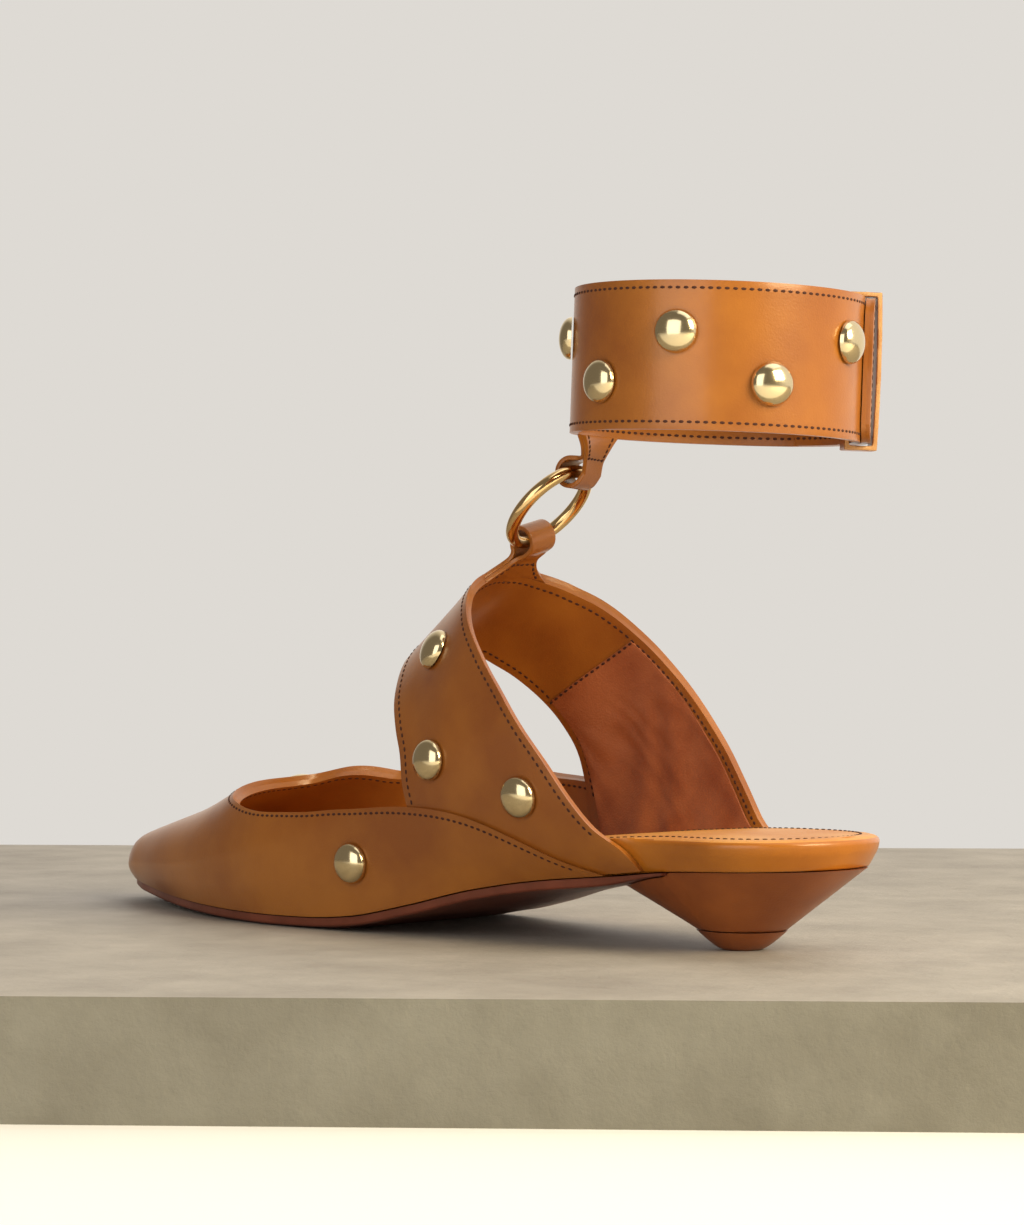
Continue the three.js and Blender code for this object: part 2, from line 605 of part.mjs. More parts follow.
// Tabs: a strap folded round the ring's wire, its two plies sewn together, that flares out
// to the edge it is sewn to. up: 1 above the ring, -1 below. root(v) runs along that edge,
// exit points away from it, and slack is how far the loop's middle is inside the wire's.
function tabSolid({ up, slack, hole, width, root, exit, reach, rootWidth }) {
  const away = ringUp.clone().multiplyScalar(up * Math.cos(ringSwing))
    .addScaledVector(ringAside, Math.sin(ringSwing));
  const middle = ringMiddle.clone().addScaledVector(away, ringRadius - slack);
  const axis = ringAside.clone().multiplyScalar(-Math.cos(ringSwing))
    .addScaledVector(ringUp, up * Math.sin(ringSwing));
  const control = (v) => root(v).addScaledVector(exit, reach);
  const toRoot = control(0).sub(middle);
  toRoot.addScaledVector(axis, -toRoot.dot(axis)).normalize();
  const flat = new THREE.Vector3().crossVectors(axis, toRoot);
  const circle = (radius, half) => Array.from({ length: 18 }, (_, i) => {
    const turn = TAU * i / 18;
    return middle.clone().addScaledVector(toRoot, Math.cos(turn) * radius)
      .addScaledVector(flat, Math.sin(turn) * radius).addScaledVector(axis, half);
  });
  const tube = (radius, half) => solidOf(loft([circle(radius, -half), circle(radius, half)]));
  const wall = hole + tabLeather / 2;
  const start = (v) => middle.clone().addScaledVector(toRoot, wall)
    .addScaledVector(axis, v * width / 2);
  const point = (s, v) => {
    const plain = mix(width, rootWidth, 1 - (1 - s) * (1 - s));
    const share = v * mix(width, rootWidth, Math.pow(s, 2.6)) / plain;
    return start(share).multiplyScalar((1 - s) * (1 - s))
      .addScaledVector(control(share), 2 * s * (1 - s)).addScaledVector(root(share), s * s);
  };
  const grid = (side) => evenly(-1, 1, 6).map((v) => evenly(0, 1, 7).map((s) => {
    const alongTab = point(Math.min(1, s + 0.01), v).sub(point(Math.max(0, s - 0.01), v));
    const acrossTab = point(s, Math.min(1, v + 0.01)).sub(point(s, Math.max(-1, v - 0.01)));
    const normal = acrossTab.cross(alongTab).normalize();
    const thick = mix(1.75 * (hole + tabLeather), tabThickness, smooth(0, 0.5, s));
    return point(s, v).addScaledVector(normal, side * thick / 2);
  }));
  const whole = tube(hole + tabLeather, width / 2).add(solidOf(sheet(grid(1), grid(-1))));
  return whole.subtract(tube(hole, width));
}
const rootGap = 0.35;
const instepTabWidth = 8.8;
const instepRootWidth = 27;
const instepRootTurn = 0.185; // the flared root reaches this turn of the band on both sides
const instepTab = tabSolid({
  up: -1,
  slack: 0.8,
  hole: 2.9,
  width: instepTabWidth,
  root: (v) => {
    const turn = v * instepRootTurn;
    return lastPoint(bandEdge("back", turn, -rootGap), turn, bandWall / 2);
  },
  exit: place(-0.76, 0, 0.65).normalize(),
  reach: 5,
  rootWidth: instepRootWidth,
});
add("instep_tab", geometryOf(largestPart(instepTab.subtract(bandRoom))), calf);

// Cuff: one strap whose outer end laps over its inner end, held by a keeper. The whole cuff
// leans back, so its pieces are made upright and turned together.
const cuffMiddle = place(cuffAlong, cuffAcross, cuffBottom + cuffHeight / 2);
const cuffTilt = new THREE.Matrix4().makeTranslation(cuffMiddle)
  .multiply(new THREE.Matrix4().makeRotationAxis(place(-0.643, 0.766, 0).normalize(), rad(-cuffLean)))
  .multiply(new THREE.Matrix4().makeTranslation(cuffMiddle.clone().negate()));
const addCuff = (name, geometry, material) => {
  geometry.applyMatrix4(cuffTilt);
  add(name, geometry, material);
};
const lapEnd = -149;          // where the free end stops, in degrees from the toe
const cuffTurn = 360 + cuffLap;
const lapFade = 46;           // degrees over which the outer end comes down to the round
const cuffLapLift = cuffWall + gap;
const cuffPlace = (degrees, radius, high) => place(
  cuffAlong + Math.cos(rad(degrees)) * radius, cuffAcross + Math.sin(rad(degrees)) * radius, high,
);
function cuffPoint(turned, high, out) {
  const lap = cuffLapLift * (1 - smooth(cuffLap, cuffLap + lapFade, turned));
  return cuffPlace(lapEnd + turned, cuffRadius - cuffWall + out + lap, high);
}
const tabCorner = 5;          // radius of the outer end's corners
const tabNotch = (turned, up) => {
  const reach = turned * rad(1) * (cuffRadius + cuffLapLift);
  const s = clamp01(1 - reach / tabCorner);
  const cut = tabCorner * (1 - Math.sqrt(1 - s * s));
  return mix(cuffBottom + cut, cuffBottom + cuffHeight - cut, up);
};
function cuffSheet(low, high) {
  const turns = [
    ...evenly(0, 1, 5).map((s) => 8 * s * s),
    ...evenly(8, cuffTurn, 54).slice(1),
  ];
  const grid = (out) => turns.map((turned) => [0, 0.5, 1].map((up) => (
    cuffPoint(turned, tabNotch(turned, up), out)
  )));
  return sheet(grid(high), grid(low));
}
addCuff("ankle_cuff", cuffSheet(0, cuffWall), calf);

const cuffTabWidth = 8.8;
const cuffRootWidth = 17;
const cuffRootAngle = 10;     // the tab's root, in degrees from the toe towards the outer side
const cuffTab = tabSolid({
  up: 1,
  slack: 0.4,
  hole: 2.9,
  width: cuffTabWidth,
  root: (v) => {
    const radius = cuffRadius - cuffWall / 2;
    const degrees = cuffRootAngle + v * cuffRootWidth / 2 / radius / rad(1);
    return cuffPlace(degrees, radius, cuffBottom - rootGap).applyMatrix4(cuffTilt);
  },
  exit: place(0, 0, -1).transformDirection(cuffTilt),
  reach: 4.5,
  rootWidth: cuffRootWidth,
});
add("cuff_tab", geometryOf(cuffTab), calf);

// Keeper: a closed loop round both ends of the strap, bowed away from it on the outside
const keeperAngle = -132;
const keeperBow = 0.4;
function keeperGeometry() {
  const inside = cuffRadius - cuffWall - gap * 2;
  const outside = cuffRadius + cuffLapLift + gap * 2;
  const low = cuffBottom - gap * 2;
  const high = cuffBottom + cuffHeight + gap * 2;
  const outline = (shape, grow) => {
    shape.moveTo(inside - grow, low - grow);
    shape.lineTo(outside + grow, low - grow);
    const bowed = outside + grow + keeperBow * 2;
    shape.quadraticCurveTo(bowed, (low + high) / 2, outside + grow, high + grow);
    shape.lineTo(inside - grow, high + grow);
    shape.closePath();
    return shape;
  };
  const shape = outline(new THREE.Shape(), keeperLeather);
  shape.holes.push(outline(new THREE.Path(), 0));
  const options = { depth: keeperWidth, bevelEnabled: false, steps: 1, curveSegments: 8 };
  const geometry = new THREE.ExtrudeGeometry(shape, options);
  geometry.translate(0, 0, -keeperWidth / 2);
  const angle = rad(keeperAngle);
  const outward = new THREE.Vector3(Math.sin(angle), -Math.cos(angle), 0);
  const up = new THREE.Vector3(0, 0, 1);
  const along = new THREE.Vector3().crossVectors(outward, up);
  geometry.applyMatrix4(new THREE.Matrix4().makeBasis(outward, up, along));
  geometry.translate(cuffAcross, -cuffAlong, 0);
  return closedGeometry(cornersOf(geometry));
}
addCuff("keeper", keeperGeometry(), calf);

// Studs: low domes that sit flat on the leather
const domeProfile = evenly(0, 1, 4).map((s) => new THREE.Vector2(
  Math.cos(s * Math.PI / 2) * studWidth / 2,
  studHeight * (0.14 + 0.86 * Math.sin(s * Math.PI / 2)),
));
function studGeometry() {
  const profile = [new THREE.Vector2(0, 0), new THREE.Vector2(studWidth / 2, 0), ...domeProfile];
  profile[profile.length - 1].x = 0;
  return closedGeometry(cornersOf(new THREE.LatheGeometry(profile, 12)));
}
const studLift = 0.2;
function studAt(point, outward) {
  const geometry = studGeometry();
  const turn = new THREE.Quaternion().setFromUnitVectors(new THREE.Vector3(0, 1, 0), outward);
  geometry.applyQuaternion(turn);
  const base = point.clone().addScaledVector(outward, studLift);
  geometry.translate(base.x, base.y, base.z);
  return geometry;
}
function addUpperStud(name, at, turn, out) {
  const along = at * shoeLength - seatBack;
  const point = lastPoint(along, turn, out);
  const forward = lastPoint(along + 1, turn, out).sub(lastPoint(along - 1, turn, out));
  const over = lastPoint(along, turn - 0.02, out).sub(lastPoint(along, turn + 0.02, out));
  const outward = new THREE.Vector3().crossVectors(forward, over).normalize();
  if (outward.dot(place(0, turn, 0.5)) < 0) outward.negate();
  add(name, studAt(point, outward), brass);
}
const bandStuds = [
  { name: "front", at: 0.4340, turn: 0.500 },
  { name: "low_front", at: 0.4110, turn: 0.780 },
  { name: "low_back", at: 0.2940, turn: 0.897 },
];
for (const { name, at, turn } of bandStuds) {
  addUpperStud(`band_stud_outer_${name}`, at, turn, bandWall);
  addUpperStud(`band_stud_inner_${name}`, at, -turn, bandWall);
}
const vampOut = bandWall + vampStep;
addUpperStud("vamp_stud_outer", 0.5210, 0.902, vampOut);
addUpperStud("vamp_stud_inner", 0.5210, -0.902, vampOut);
addUpperStud("vamp_stud_front", 0.7820, -0.12, vampOut);

// Cuff studs zigzag round the strap, in degrees from the toe towards the outer side
const cuffStudAngles = [-34, 3, 41.5, 79.5, 114, 151.5, 191.5];
const cuffStudHigh = 0.655;
const cuffStudLow = 0.325;
cuffStudAngles.forEach((degrees, i) => {
  const high = cuffBottom + cuffHeight * (i % 2 === 0 ? cuffStudHigh : cuffStudLow);
  const turned = degrees - lapEnd;
  const point = cuffPoint(turned, high, cuffWall);
  const angle = rad(degrees);
  const outward = place(Math.cos(angle), Math.sin(angle), 0);
  addCuff(`cuff_stud_${i + 1}`, studAt(point, outward), brass);
});

// The origin is on the floor, under the middle of the shoe
const box = new THREE.Box3().setFromObject(shoe);
const middle = box.getCenter(new THREE.Vector3());
shoe.position.set(-middle.x, -middle.y, -box.min.z);

export default shoe;
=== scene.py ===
# Looks of a low-heeled leather mule with an instep band, a ring link and an ankle cuff.
import math

import bpy
from mathutils import Matrix, Vector


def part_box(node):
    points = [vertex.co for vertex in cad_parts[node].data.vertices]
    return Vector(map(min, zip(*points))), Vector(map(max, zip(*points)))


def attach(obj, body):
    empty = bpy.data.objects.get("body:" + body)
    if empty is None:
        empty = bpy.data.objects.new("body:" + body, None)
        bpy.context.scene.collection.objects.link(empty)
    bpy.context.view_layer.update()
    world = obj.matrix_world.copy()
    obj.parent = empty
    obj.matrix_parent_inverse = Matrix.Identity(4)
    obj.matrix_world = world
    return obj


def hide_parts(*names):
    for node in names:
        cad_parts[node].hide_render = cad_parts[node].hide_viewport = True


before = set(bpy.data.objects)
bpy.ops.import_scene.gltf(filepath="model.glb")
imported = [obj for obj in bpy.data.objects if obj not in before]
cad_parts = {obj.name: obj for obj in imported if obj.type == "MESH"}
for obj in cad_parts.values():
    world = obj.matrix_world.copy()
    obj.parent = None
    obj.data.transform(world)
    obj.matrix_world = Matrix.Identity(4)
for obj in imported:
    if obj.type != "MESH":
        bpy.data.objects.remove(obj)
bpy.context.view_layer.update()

MM = 0.001
LIFT_LOW, LIFT_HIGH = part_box("top_lift")
TIP_X = (LIFT_LOW.x + LIFT_HIGH.x) / 2
TIP_Y = (LIFT_LOW.y + LIFT_HIGH.y) / 2

# Sizes in millimetres, along runs forward from the middle of the heel tip
SEAT_BACK = 36
SHOE_LENGTH = 264
BALL_WIDTH = 75
HEEL_HEIGHT = 21
INSTEP_HEIGHT = 95
BAND_WALL = 2.0
VAMP_WALL = 3.0
LINING_STEP = 0.25
SEAT_WIDTH = 55.4
RIM_FLARE = 2.6
SEAT_THICKNESS = 8.3
SOLE_EDGE = 2.3
HEEL_TOP = (67.2, 49)
HEEL_NECK = (23.6, 21.6)
LIFT_HEIGHT = 4.9
LIFT_FLAT = 9.6
RING_RADIUS = 12.3
RING_WIRE = 1.7
CUFF_RADIUS = 36.4
CUFF_HEIGHT = 36.2
CUFF_BOTTOM = 127.5
CUFF_WALL = 2.2
CUFF_ALONG = 9.7
CUFF_ACROSS = -2
CUFF_LAP = 62
CUFF_LEAN = 2.1
STUD_WIDTH = 10.8
STUD_HEIGHT = 3.6
GAP = 0.3
TOE_AT = SHOE_LENGTH - SEAT_BACK
STITCH_PITCH = 2.0


def place(along, across, high):
    return Vector((TIP_X + across * MM, TIP_Y - along * MM, high * MM))


def mix(a, b, share):
    return a + (b - a) * share


def clamp01(x):
    return min(1.0, max(0.0, x))


def smooth(low, high, x):
    s = clamp01((x - low) / (high - low))
    return s * s * (3 - 2 * s)


def curve_of(rows, key, value):
    """A smooth curve through two columns of a table that never overshoots them."""
    x = [row[key] for row in rows]
    y = [row[value] for row in rows]
    slope = [(y[i + 1] - y[i]) / (x[i + 1] - x[i]) for i in range(len(x) - 1)]
    tangent = [slope[0]]
    for before, after in zip(slope, slope[1:]):
        tangent.append(0 if before * after <= 0 else 2 * before * after / (before + after))
    tangent.append(slope[-1])

    def at(q):
        if q <= x[0]:
            return y[0]
        if q >= x[-1]:
            return y[-1]
        i = next(n for n in range(1, len(x)) if x[n] > q) - 1
        h = x[i + 1] - x[i]
        s = (q - x[i]) / h
        rise = y[i + 1] - y[i]
        cubic = (tangent[i] + tangent[i + 1]) * h - 2 * rise
        square = 3 * rise - 2 * tangent[i] * h - tangent[i + 1] * h
        return y[i] + s * (tangent[i] * h + s * (square + s * cubic))

    return at


def table(columns, rows):
    return [dict(zip(columns, row)) for row in rows]


# The last: share of the length, half widths, featherline, ridge and section, as shares
LAST = table(("at", "outer", "inner", "wide", "feather", "ridge", "full"), [
    (0.000, 0.310, 0.310, 0.410, 1.020, 1.730, 0.0),
    (0.140, 0.316, 0.314, 0.425, 0.965, 1.610, 0.0),
    (0.212, 0.315, 0.302, 0.457, 0.875, 1.470, 0.0),
    (0.307, 0.336, 0.292, 0.477, 0.757, 1.263, 0.1),
    (0.383, 0.372, 0.318, 0.475, 0.600, 1.095, 0.3),
    (0.458, 0.412, 0.374, 0.453, 0.370, 0.930, 0.8),
    (0.534, 0.434, 0.416, 0.453, 0.186, 0.760, 1.0),
    (0.591, 0.444, 0.440, 0.465, 0.138, 0.623, 0.6),
    (0.648, 0.440, 0.446, 0.468, 0.129, 0.521, 0.2),
    (0.705, 0.416, 0.430, 0.450, 0.133, 0.445, 0.0),
    (0.761, 0.376, 0.398, 0.412, 0.148, 0.357, 0.0),
    (0.818, 0.314, 0.342, 0.354, 0.171, 0.291, 0.0),
    (0.875, 0.240, 0.272, 0.282, 0.210, 0.244, 0.0),
    (0.932, 0.150, 0.184, 0.192, 0.257, 0.200, 0.0),
    (0.970, 0.094, 0.124, 0.134, 0.295, 0.168, 0.0),
    (1.000, 0.060, 0.080, 0.090, 0.324, 0.137, 0.0),
])
SECTION = table(("turn", "rear", "roof"), [
    (0.00, 0.000, 0.000),
    (0.15, 0.300, 0.228),
    (0.30, 0.580, 0.455),
    (0.45, 0.782, 0.670),
    (0.60, 0.915, 0.870),
    (0.70, 0.972, 0.955),
    (0.80, 1.000, 1.000),
    (0.90, 0.970, 0.990),
    (1.00, 0.900, 0.950),
])
BAND = table(("turn", "back", "front"), [
    (0.00, 0.4356, 0.5284),
    (0.15, 0.4310, 0.5235),
    (0.30, 0.4180, 0.5160),
    (0.40, 0.4030, 0.5065),
    (0.53, 0.3780, 0.4905),
    (0.65, 0.3460, 0.4720),
    (0.73, 0.3190, 0.4590),
    (0.80, 0.2920, 0.4520),
    (0.86, 0.2640, 0.4430),
    (0.91, 0.2390, 0.4340),
    (0.95, 0.2140, 0.4240),
    (0.98, 0.1850, 0.4140),
    (1.00, 0.1760, 0.4050),
])
TOP_LINE = table(("step", "at", "turn"), [
    (0.00, 0.2200, 1.000),
    (0.05, 0.2580, 0.982),
    (0.10, 0.3060, 0.949),
    (0.16, 0.3680, 0.900),
    (0.23, 0.4470, 0.840),
    (0.30, 0.5250, 0.785),
    (0.37, 0.6140, 0.705),
    (0.42, 0.6780, 0.625),
    (0.46, 0.7250, 0.480),
    (0.49, 0.7500, 0.260),
    (0.51, 0.7560, 0.050),
    (0.53, 0.7510, -0.070),
    (0.56, 0.7290, -0.192),
    (0.60, 0.6940, -0.427),
    (0.66, 0.5910, -0.566),
    (0.71, 0.5150, -0.725),
    (0.77, 0.4470, -0.806),
    (0.84, 0.3680, -0.890),
    (0.90, 0.3060, -0.945),
    (0.95, 0.2580, -0.982),
    (1.00, 0.2200, -1.000),
])
SOLE = table(("at", "middle"), [
    (0.150, 0.918),
    (0.231, 0.776),
    (0.258, 0.710),
    (0.307, 0.620),
    (0.360, 0.510),
    (0.424, 0.310),
    (0.470, 0.210),
    (0.496, 0.155),
    (0.523, 0.090),
    (0.545, 0.029),
    (0.564, 0.000),
    (0.755, 0.000),
    (0.818, 0.019),
    (0.875, 0.057),
    (0.932, 0.119),
    (1.000, 0.210),
])
BED = table(("at", "top"), [
    (0.000, 0.398),
    (0.060, 0.394),
    (0.140, 0.392),
    (0.189, 0.385),
    (0.239, 0.373),
    (0.288, 0.360),
    (0.326, 0.345),
    (0.364, 0.316),
    (0.420, 0.248),
    (0.477, 0.172),
    (0.534, 0.120),
    (0.591, 0.102),
    (0.700, 0.098),
    (0.850, 0.106),
    (1.000, 0.132),
])
RIM = table(("high", "inset"), [
    (0.00, 2.6),
    (0.25, 1.5),
    (0.60, 0.25),
    (0.82, 0.0),
    (0.94, 0.7),
    (1.00, 2.2),
])
LIFT = table(("high", "share"), [
    (0.00, 0.00),
    (0.10, 0.17),
    (0.50, 0.58),
    (1.00, 1.00),
])

last_curve = {name: curve_of(LAST, "at", name) for name in LAST[0] if name != "at"}
rear_section = curve_of(SECTION, "turn", "rear")
roof_section = curve_of(SECTION, "turn", "roof")
band_back = curve_of(BAND, "turn", "back")
band_front = curve_of(BAND, "turn", "front")
line_at = curve_of(TOP_LINE, "step", "at")
line_turn = curve_of(TOP_LINE, "step", "turn")
sole_middle = curve_of(SOLE, "at", "middle")
bed_height = curve_of(BED, "at", "top")
rim_inset = curve_of(RIM, "high", "inset")
lift_share = curve_of(LIFT, "high", "share")

NOSE = 15
SKIRT_TURN = 0.78


def share_at(along):
    return (along + SEAT_BACK) / SHOE_LENGTH


def feather_height(along):
    return HEEL_HEIGHT * last_curve["feather"](share_at(along))


def nose_round(along, power):
    s = clamp01((along - (TOE_AT - NOSE)) / NOSE)
    return (1 - s ** power) ** (1 / power)


def drift(along):
    return -2.4 * smooth(TOE_AT * 0.6, TOE_AT, along)


def last_half_width(along, turn, side, out):
    at = share_at(along)
    b = abs(turn)
    full = last_curve["full"](at)
    section = mix(rear_section(b), roof_section(b), full)
    foot = mix(rear_section(1), roof_section(1), full)
    wide = last_curve["wide"](at) * BALL_WIDTH
    feather = last_curve["outer" if side > 0 else "inner"](at) * BALL_WIDTH
    power = mix(8, 2, smooth(0.2, 0.42, at))
    low = clamp01((b - SKIRT_TURN) / (1 - SKIRT_TURN)) ** power
    width = wide * section + (feather - wide * foot) * low
    return (width + out * min(1, b * 6)) * nose_round(along, 2)


def last_point(along, turn, out):
    side = -1 if turn < 0 else 1
    foot = feather_height(along) + GAP
    ridge = last_curve["ridge"](share_at(along)) * INSTEP_HEIGHT
    rise = (ridge - foot + out) * nose_round(along, 2.5)
    across = side * last_half_width(along, turn, side, out) + drift(along)
    forward = along + out * smooth(TOE_AT * 0.65, TOE_AT, along)
    return place(forward, across, foot + rise * (1 - turn * turn))


def band_edge(edge, turn, further):
    at = (band_back if edge == "back" else band_front)(abs(turn))
    return at * SHOE_LENGTH - SEAT_BACK + further


TIP_START = 0.44
TIP_END = 0.58


def vamp_point(step, down, out):
    """A point of the vamp: step along its top line, down from it to the sole."""
    top = line_at(step) * SHOE_LENGTH - SEAT_BACK
    foot_along = TOE_AT
    foot_turn = 1 - 2 * (step - TIP_START) / (TIP_END - TIP_START)
    if step < TIP_START:
        reach = TOE_AT - line_at(TIP_START) * SHOE_LENGTH + SEAT_BACK
        foot_along = top + reach * smooth(0.16, TIP_START, step)
        foot_turn = 1
    if step > TIP_END:
        reach = TOE_AT - line_at(TIP_END) * SHOE_LENGTH + SEAT_BACK
        foot_along = top + reach * smooth(0.84, TIP_END, step)
        foot_turn = -1
    return last_point(mix(top, foot_along, down), mix(line_turn(step), foot_turn, down), out)


# Mesh tools
SHARP = math.radians(40)
MERGE = 0.00002
GLUE_SINK = 0.2
GLUE_NARROW = 0.35
OUTER_FACE, EDGE_FACE, LINING_FACE, GLUE_FACE = range(4)


def deselect():
    if bpy.context.mode != "OBJECT":
        bpy.ops.object.mode_set(mode="OBJECT")
    bpy.ops.object.select_all(action="DESELECT")


def only(piece):
    deselect()
    piece.select_set(True)
    bpy.context.view_layer.objects.active = piece


def shaped_grid(name, columns, rows, at):
    """A grid primitive whose vertices are moved to their places on the piece."""
    deselect()
    bpy.ops.mesh.primitive_grid_add(x_subdivisions=columns, y_subdivisions=rows, size=1)
    piece = bpy.context.object
    piece.name = name
    piece.data.name = name
    for v in piece.data.vertices:
        v.co = at(clamp01(v.co.x + 0.5), clamp01(v.co.y + 0.5))
    return piece


def edit(piece, *steps):
    only(piece)
    bpy.ops.object.mode_set(mode="EDIT")
    bpy.ops.mesh.select_all(action="SELECT")
    for step in steps:
        step()
    bpy.ops.object.mode_set(mode="OBJECT")


def close_up(piece):
    edit(piece, lambda: bpy.ops.mesh.remove_doubles(threshold=MERGE),
         lambda: bpy.ops.mesh.normals_make_consistent(inside=False))


def apply(piece, kind, **settings):
    only(piece)
    modifier = piece.modifiers.new(kind.title(), kind)
    for key, value in settings.items():
        setattr(modifier, key, value)
    bpy.ops.object.modifier_apply(modifier=modifier.name)


def rounded(piece, width, segments=3):
    apply(piece, "BEVEL", width=width * MM, segments=segments, limit_method="ANGLE",
          angle_limit=SHARP, harden_normals=False)


def smooth_faces(piece, angle=50):
    only(piece)
    bpy.ops.object.shade_smooth_by_angle(angle=math.radians(angle))


def press_joint(skin, joint):
    """Draws the glue line between two plies thin, and sinks it a little into the edge."""
    seen = {}
    sunk = {}
    for face in joint:
        for key in face.edge_keys:
            seen[key] = seen.get(key, 0) + 1
        for i in face.vertices:
            sunk[i] = sunk.get(i, Vector()) - face.normal
    places = {}
    for (a, b), times in seen.items():
        if times == 2:
            first, second = skin.data.vertices[a].co, skin.data.vertices[b].co
            middle = (first + second) / 2
            places[a] = middle.lerp(first, GLUE_NARROW) + sunk[a].normalized() * GLUE_SINK * MM
            places[b] = middle.lerp(second, GLUE_NARROW) + sunk[b].normalized() * GLUE_SINK * MM
    for i, spot in places.items():
        skin.data.vertices[i].co = spot


def two_sided(name, columns, rows, outer, inner, edge_width=0.45):
    """A wall of leather: an outer and an inner skin, bridged round their rim and rounded."""
    skin = shaped_grid(name, columns, rows, outer)
    count = len(skin.data.vertices)
    back = shaped_grid(name + "_back", columns, rows, inner)
    deselect()
    back.select_set(True)
    skin.select_set(True)
    bpy.context.view_layer.objects.active = skin
    bpy.ops.object.join()
    edit(skin, lambda: bpy.ops.mesh.select_all(action="DESELECT"),
         lambda: bpy.ops.mesh.select_mode(type="EDGE"),
         lambda: bpy.ops.mesh.select_non_manifold(),
         lambda: bpy.ops.mesh.bridge_edge_loops(number_cuts=2, interpolation="LINEAR"),
         lambda: bpy.ops.mesh.select_all(action="SELECT"),
         lambda: bpy.ops.mesh.normals_make_consistent(inside=False))
    for _ in range(4):
        skin.data.materials.append(None)
    joint = []
    for face in skin.data.polygons:
        plies = {min(i // count, 2) for i in face.vertices}
        if plies == {0}:
            face.material_index = OUTER_FACE
        elif plies == {1}:
            face.material_index = LINING_FACE
        elif plies == {2}:
            face.material_index = GLUE_FACE
            joint.append(face)
        else:
            face.material_index = EDGE_FACE
    press_joint(skin, joint)
    rounded(skin, edge_width)
    smooth_faces(skin)
    return skin


def finish_piece(piece, body, record_slot, nodes, *materials):
    piece.data.materials.clear()
    for material in materials:
        piece.data.materials.append(material)
    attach(piece, body)
    if nodes:
        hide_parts(*nodes)
    return piece


# Materials
def linear(hexcode):
    channels = [int(hexcode[i:i + 2], 16) / 255 for i in (1, 3, 5)]
    return [c / 12.92 if c <= 0.04045 else ((c + 0.055) / 1.055) ** 2.4 for c in channels] + [1]


def add_node(tree, kind, links=(), **settings):
    node = tree.nodes.new(kind)
    for key, value in settings.items():
        if key.startswith("in_"):
            node.inputs[key[3:].replace("_", " ")].default_value = value
        else:
            setattr(node, key, value)
    for source, output, socket in links:
        tree.links.new(source.outputs[output], node.inputs[socket])
    return node


# Wax and polish: a faint yellow in every reflection of the leather
WAX = "#ffe9d0"
WAX_SMOOTHNESS = 0.22
LEATHER_IOR = 1.5
GRAIN_RELIEF = 0.0002


def leather(name, light, dark, patch_mm, grain_mm, grain_depth, roughness, coat=0.0):
    """Leather: two tones in soft patches, a fine grain and a wax or polish on top."""
    material = bpy.data.materials.new(name)
    material.use_nodes = True
    tree = material.node_tree
    shader = tree.nodes["Principled BSDF"]
    shader.inputs["IOR"].default_value = LEATHER_IOR
    shader.inputs["Coat Weight"].default_value = coat
    shader.inputs["Coat Roughness"].default_value = WAX_SMOOTHNESS
    shader.inputs["Coat Tint"].default_value = linear(WAX)
    shader.inputs["Specular Tint"].default_value = linear(WAX)
    where = add_node(tree, "ShaderNodeTexCoord")
    patches = add_node(tree, "ShaderNodeTexNoise", [(where, "Object", "Vector")],
                       in_Scale=1 / (patch_mm * MM), in_Detail=5.0, in_Roughness=0.5)
    tones = add_node(tree, "ShaderNodeValToRGB", [(patches, "Fac", "Fac")])
    tones.color_ramp.elements[0].position = 0.34
    tones.color_ramp.elements[0].color = linear(dark)
    tones.color_ramp.elements[1].position = 0.66
    tones.color_ramp.elements[1].color = linear(light)
    tree.links.new(tones.outputs["Color"], shader.inputs["Base Color"])
    grain = add_node(tree, "ShaderNodeTexVoronoi", [(where, "Object", "Vector")],
                     in_Scale=1 / (grain_mm * MM))
    fine = add_node(tree, "ShaderNodeTexNoise", [(where, "Object", "Vector")],
                    in_Scale=0.35 / (grain_mm * MM), in_Detail=4.0)
    rise = add_node(tree, "ShaderNodeMath", [(grain, "Distance", 0), (fine, "Fac", 1)],
                    operation="ADD")
    bump = add_node(tree, "ShaderNodeBump", [(rise, "Value", "Height")],
                    in_Strength=grain_depth, in_Distance=GRAIN_RELIEF)
    tree.links.new(bump.outputs["Normal"], shader.inputs["Normal"])
    gloss = add_node(tree, "ShaderNodeMapRange", [(patches, "Fac", "Value")])
    gloss.inputs["To Min"].default_value = roughness + 0.07
    gloss.inputs["To Max"].default_value = roughness - 0.05
    tree.links.new(gloss.outputs["Result"], shader.inputs["Roughness"])
    return material


def metal(name, colour, roughness):
    material = bpy.data.materials.new(name)
    material.use_nodes = True
    shader = material.node_tree.nodes["Principled BSDF"]
    shader.inputs["Base Color"].default_value = linear(colour)
    shader.inputs["Metallic"].default_value = 1.0
    shader.inputs["Roughness"].default_value = roughness
    return material


def plain(name, colour, roughness):
    material = bpy.data.materials.new(name)
    material.use_nodes = True
    shader = material.node_tree.nodes["Principled BSDF"]
    shader.inputs["Base Color"].default_value = linear(colour)
    shader.inputs["Roughness"].default_value = roughness
    return material


# Vegetable tanned calf, glazed: a warm caramel tan with a soft gloss and hardly any grain
glazed_calf = leather("glazed_tan_calf", "#a56826", "#884d1c", 30, 0.5, 0.12, 0.33, 0.35)
# Cut and burnished edges: lighter and more orange than the face of the hide
edge_leather = leather("burnished_edge", "#d8923a", "#b5681c", 6, 0.4, 0.2, 0.42)
# Raw cut edge of the keeper: pale, dry and a little rough
raw_edge = leather("raw_cut_edge", "#d3a26c", "#b98652", 6, 0.4, 0.3, 0.5)
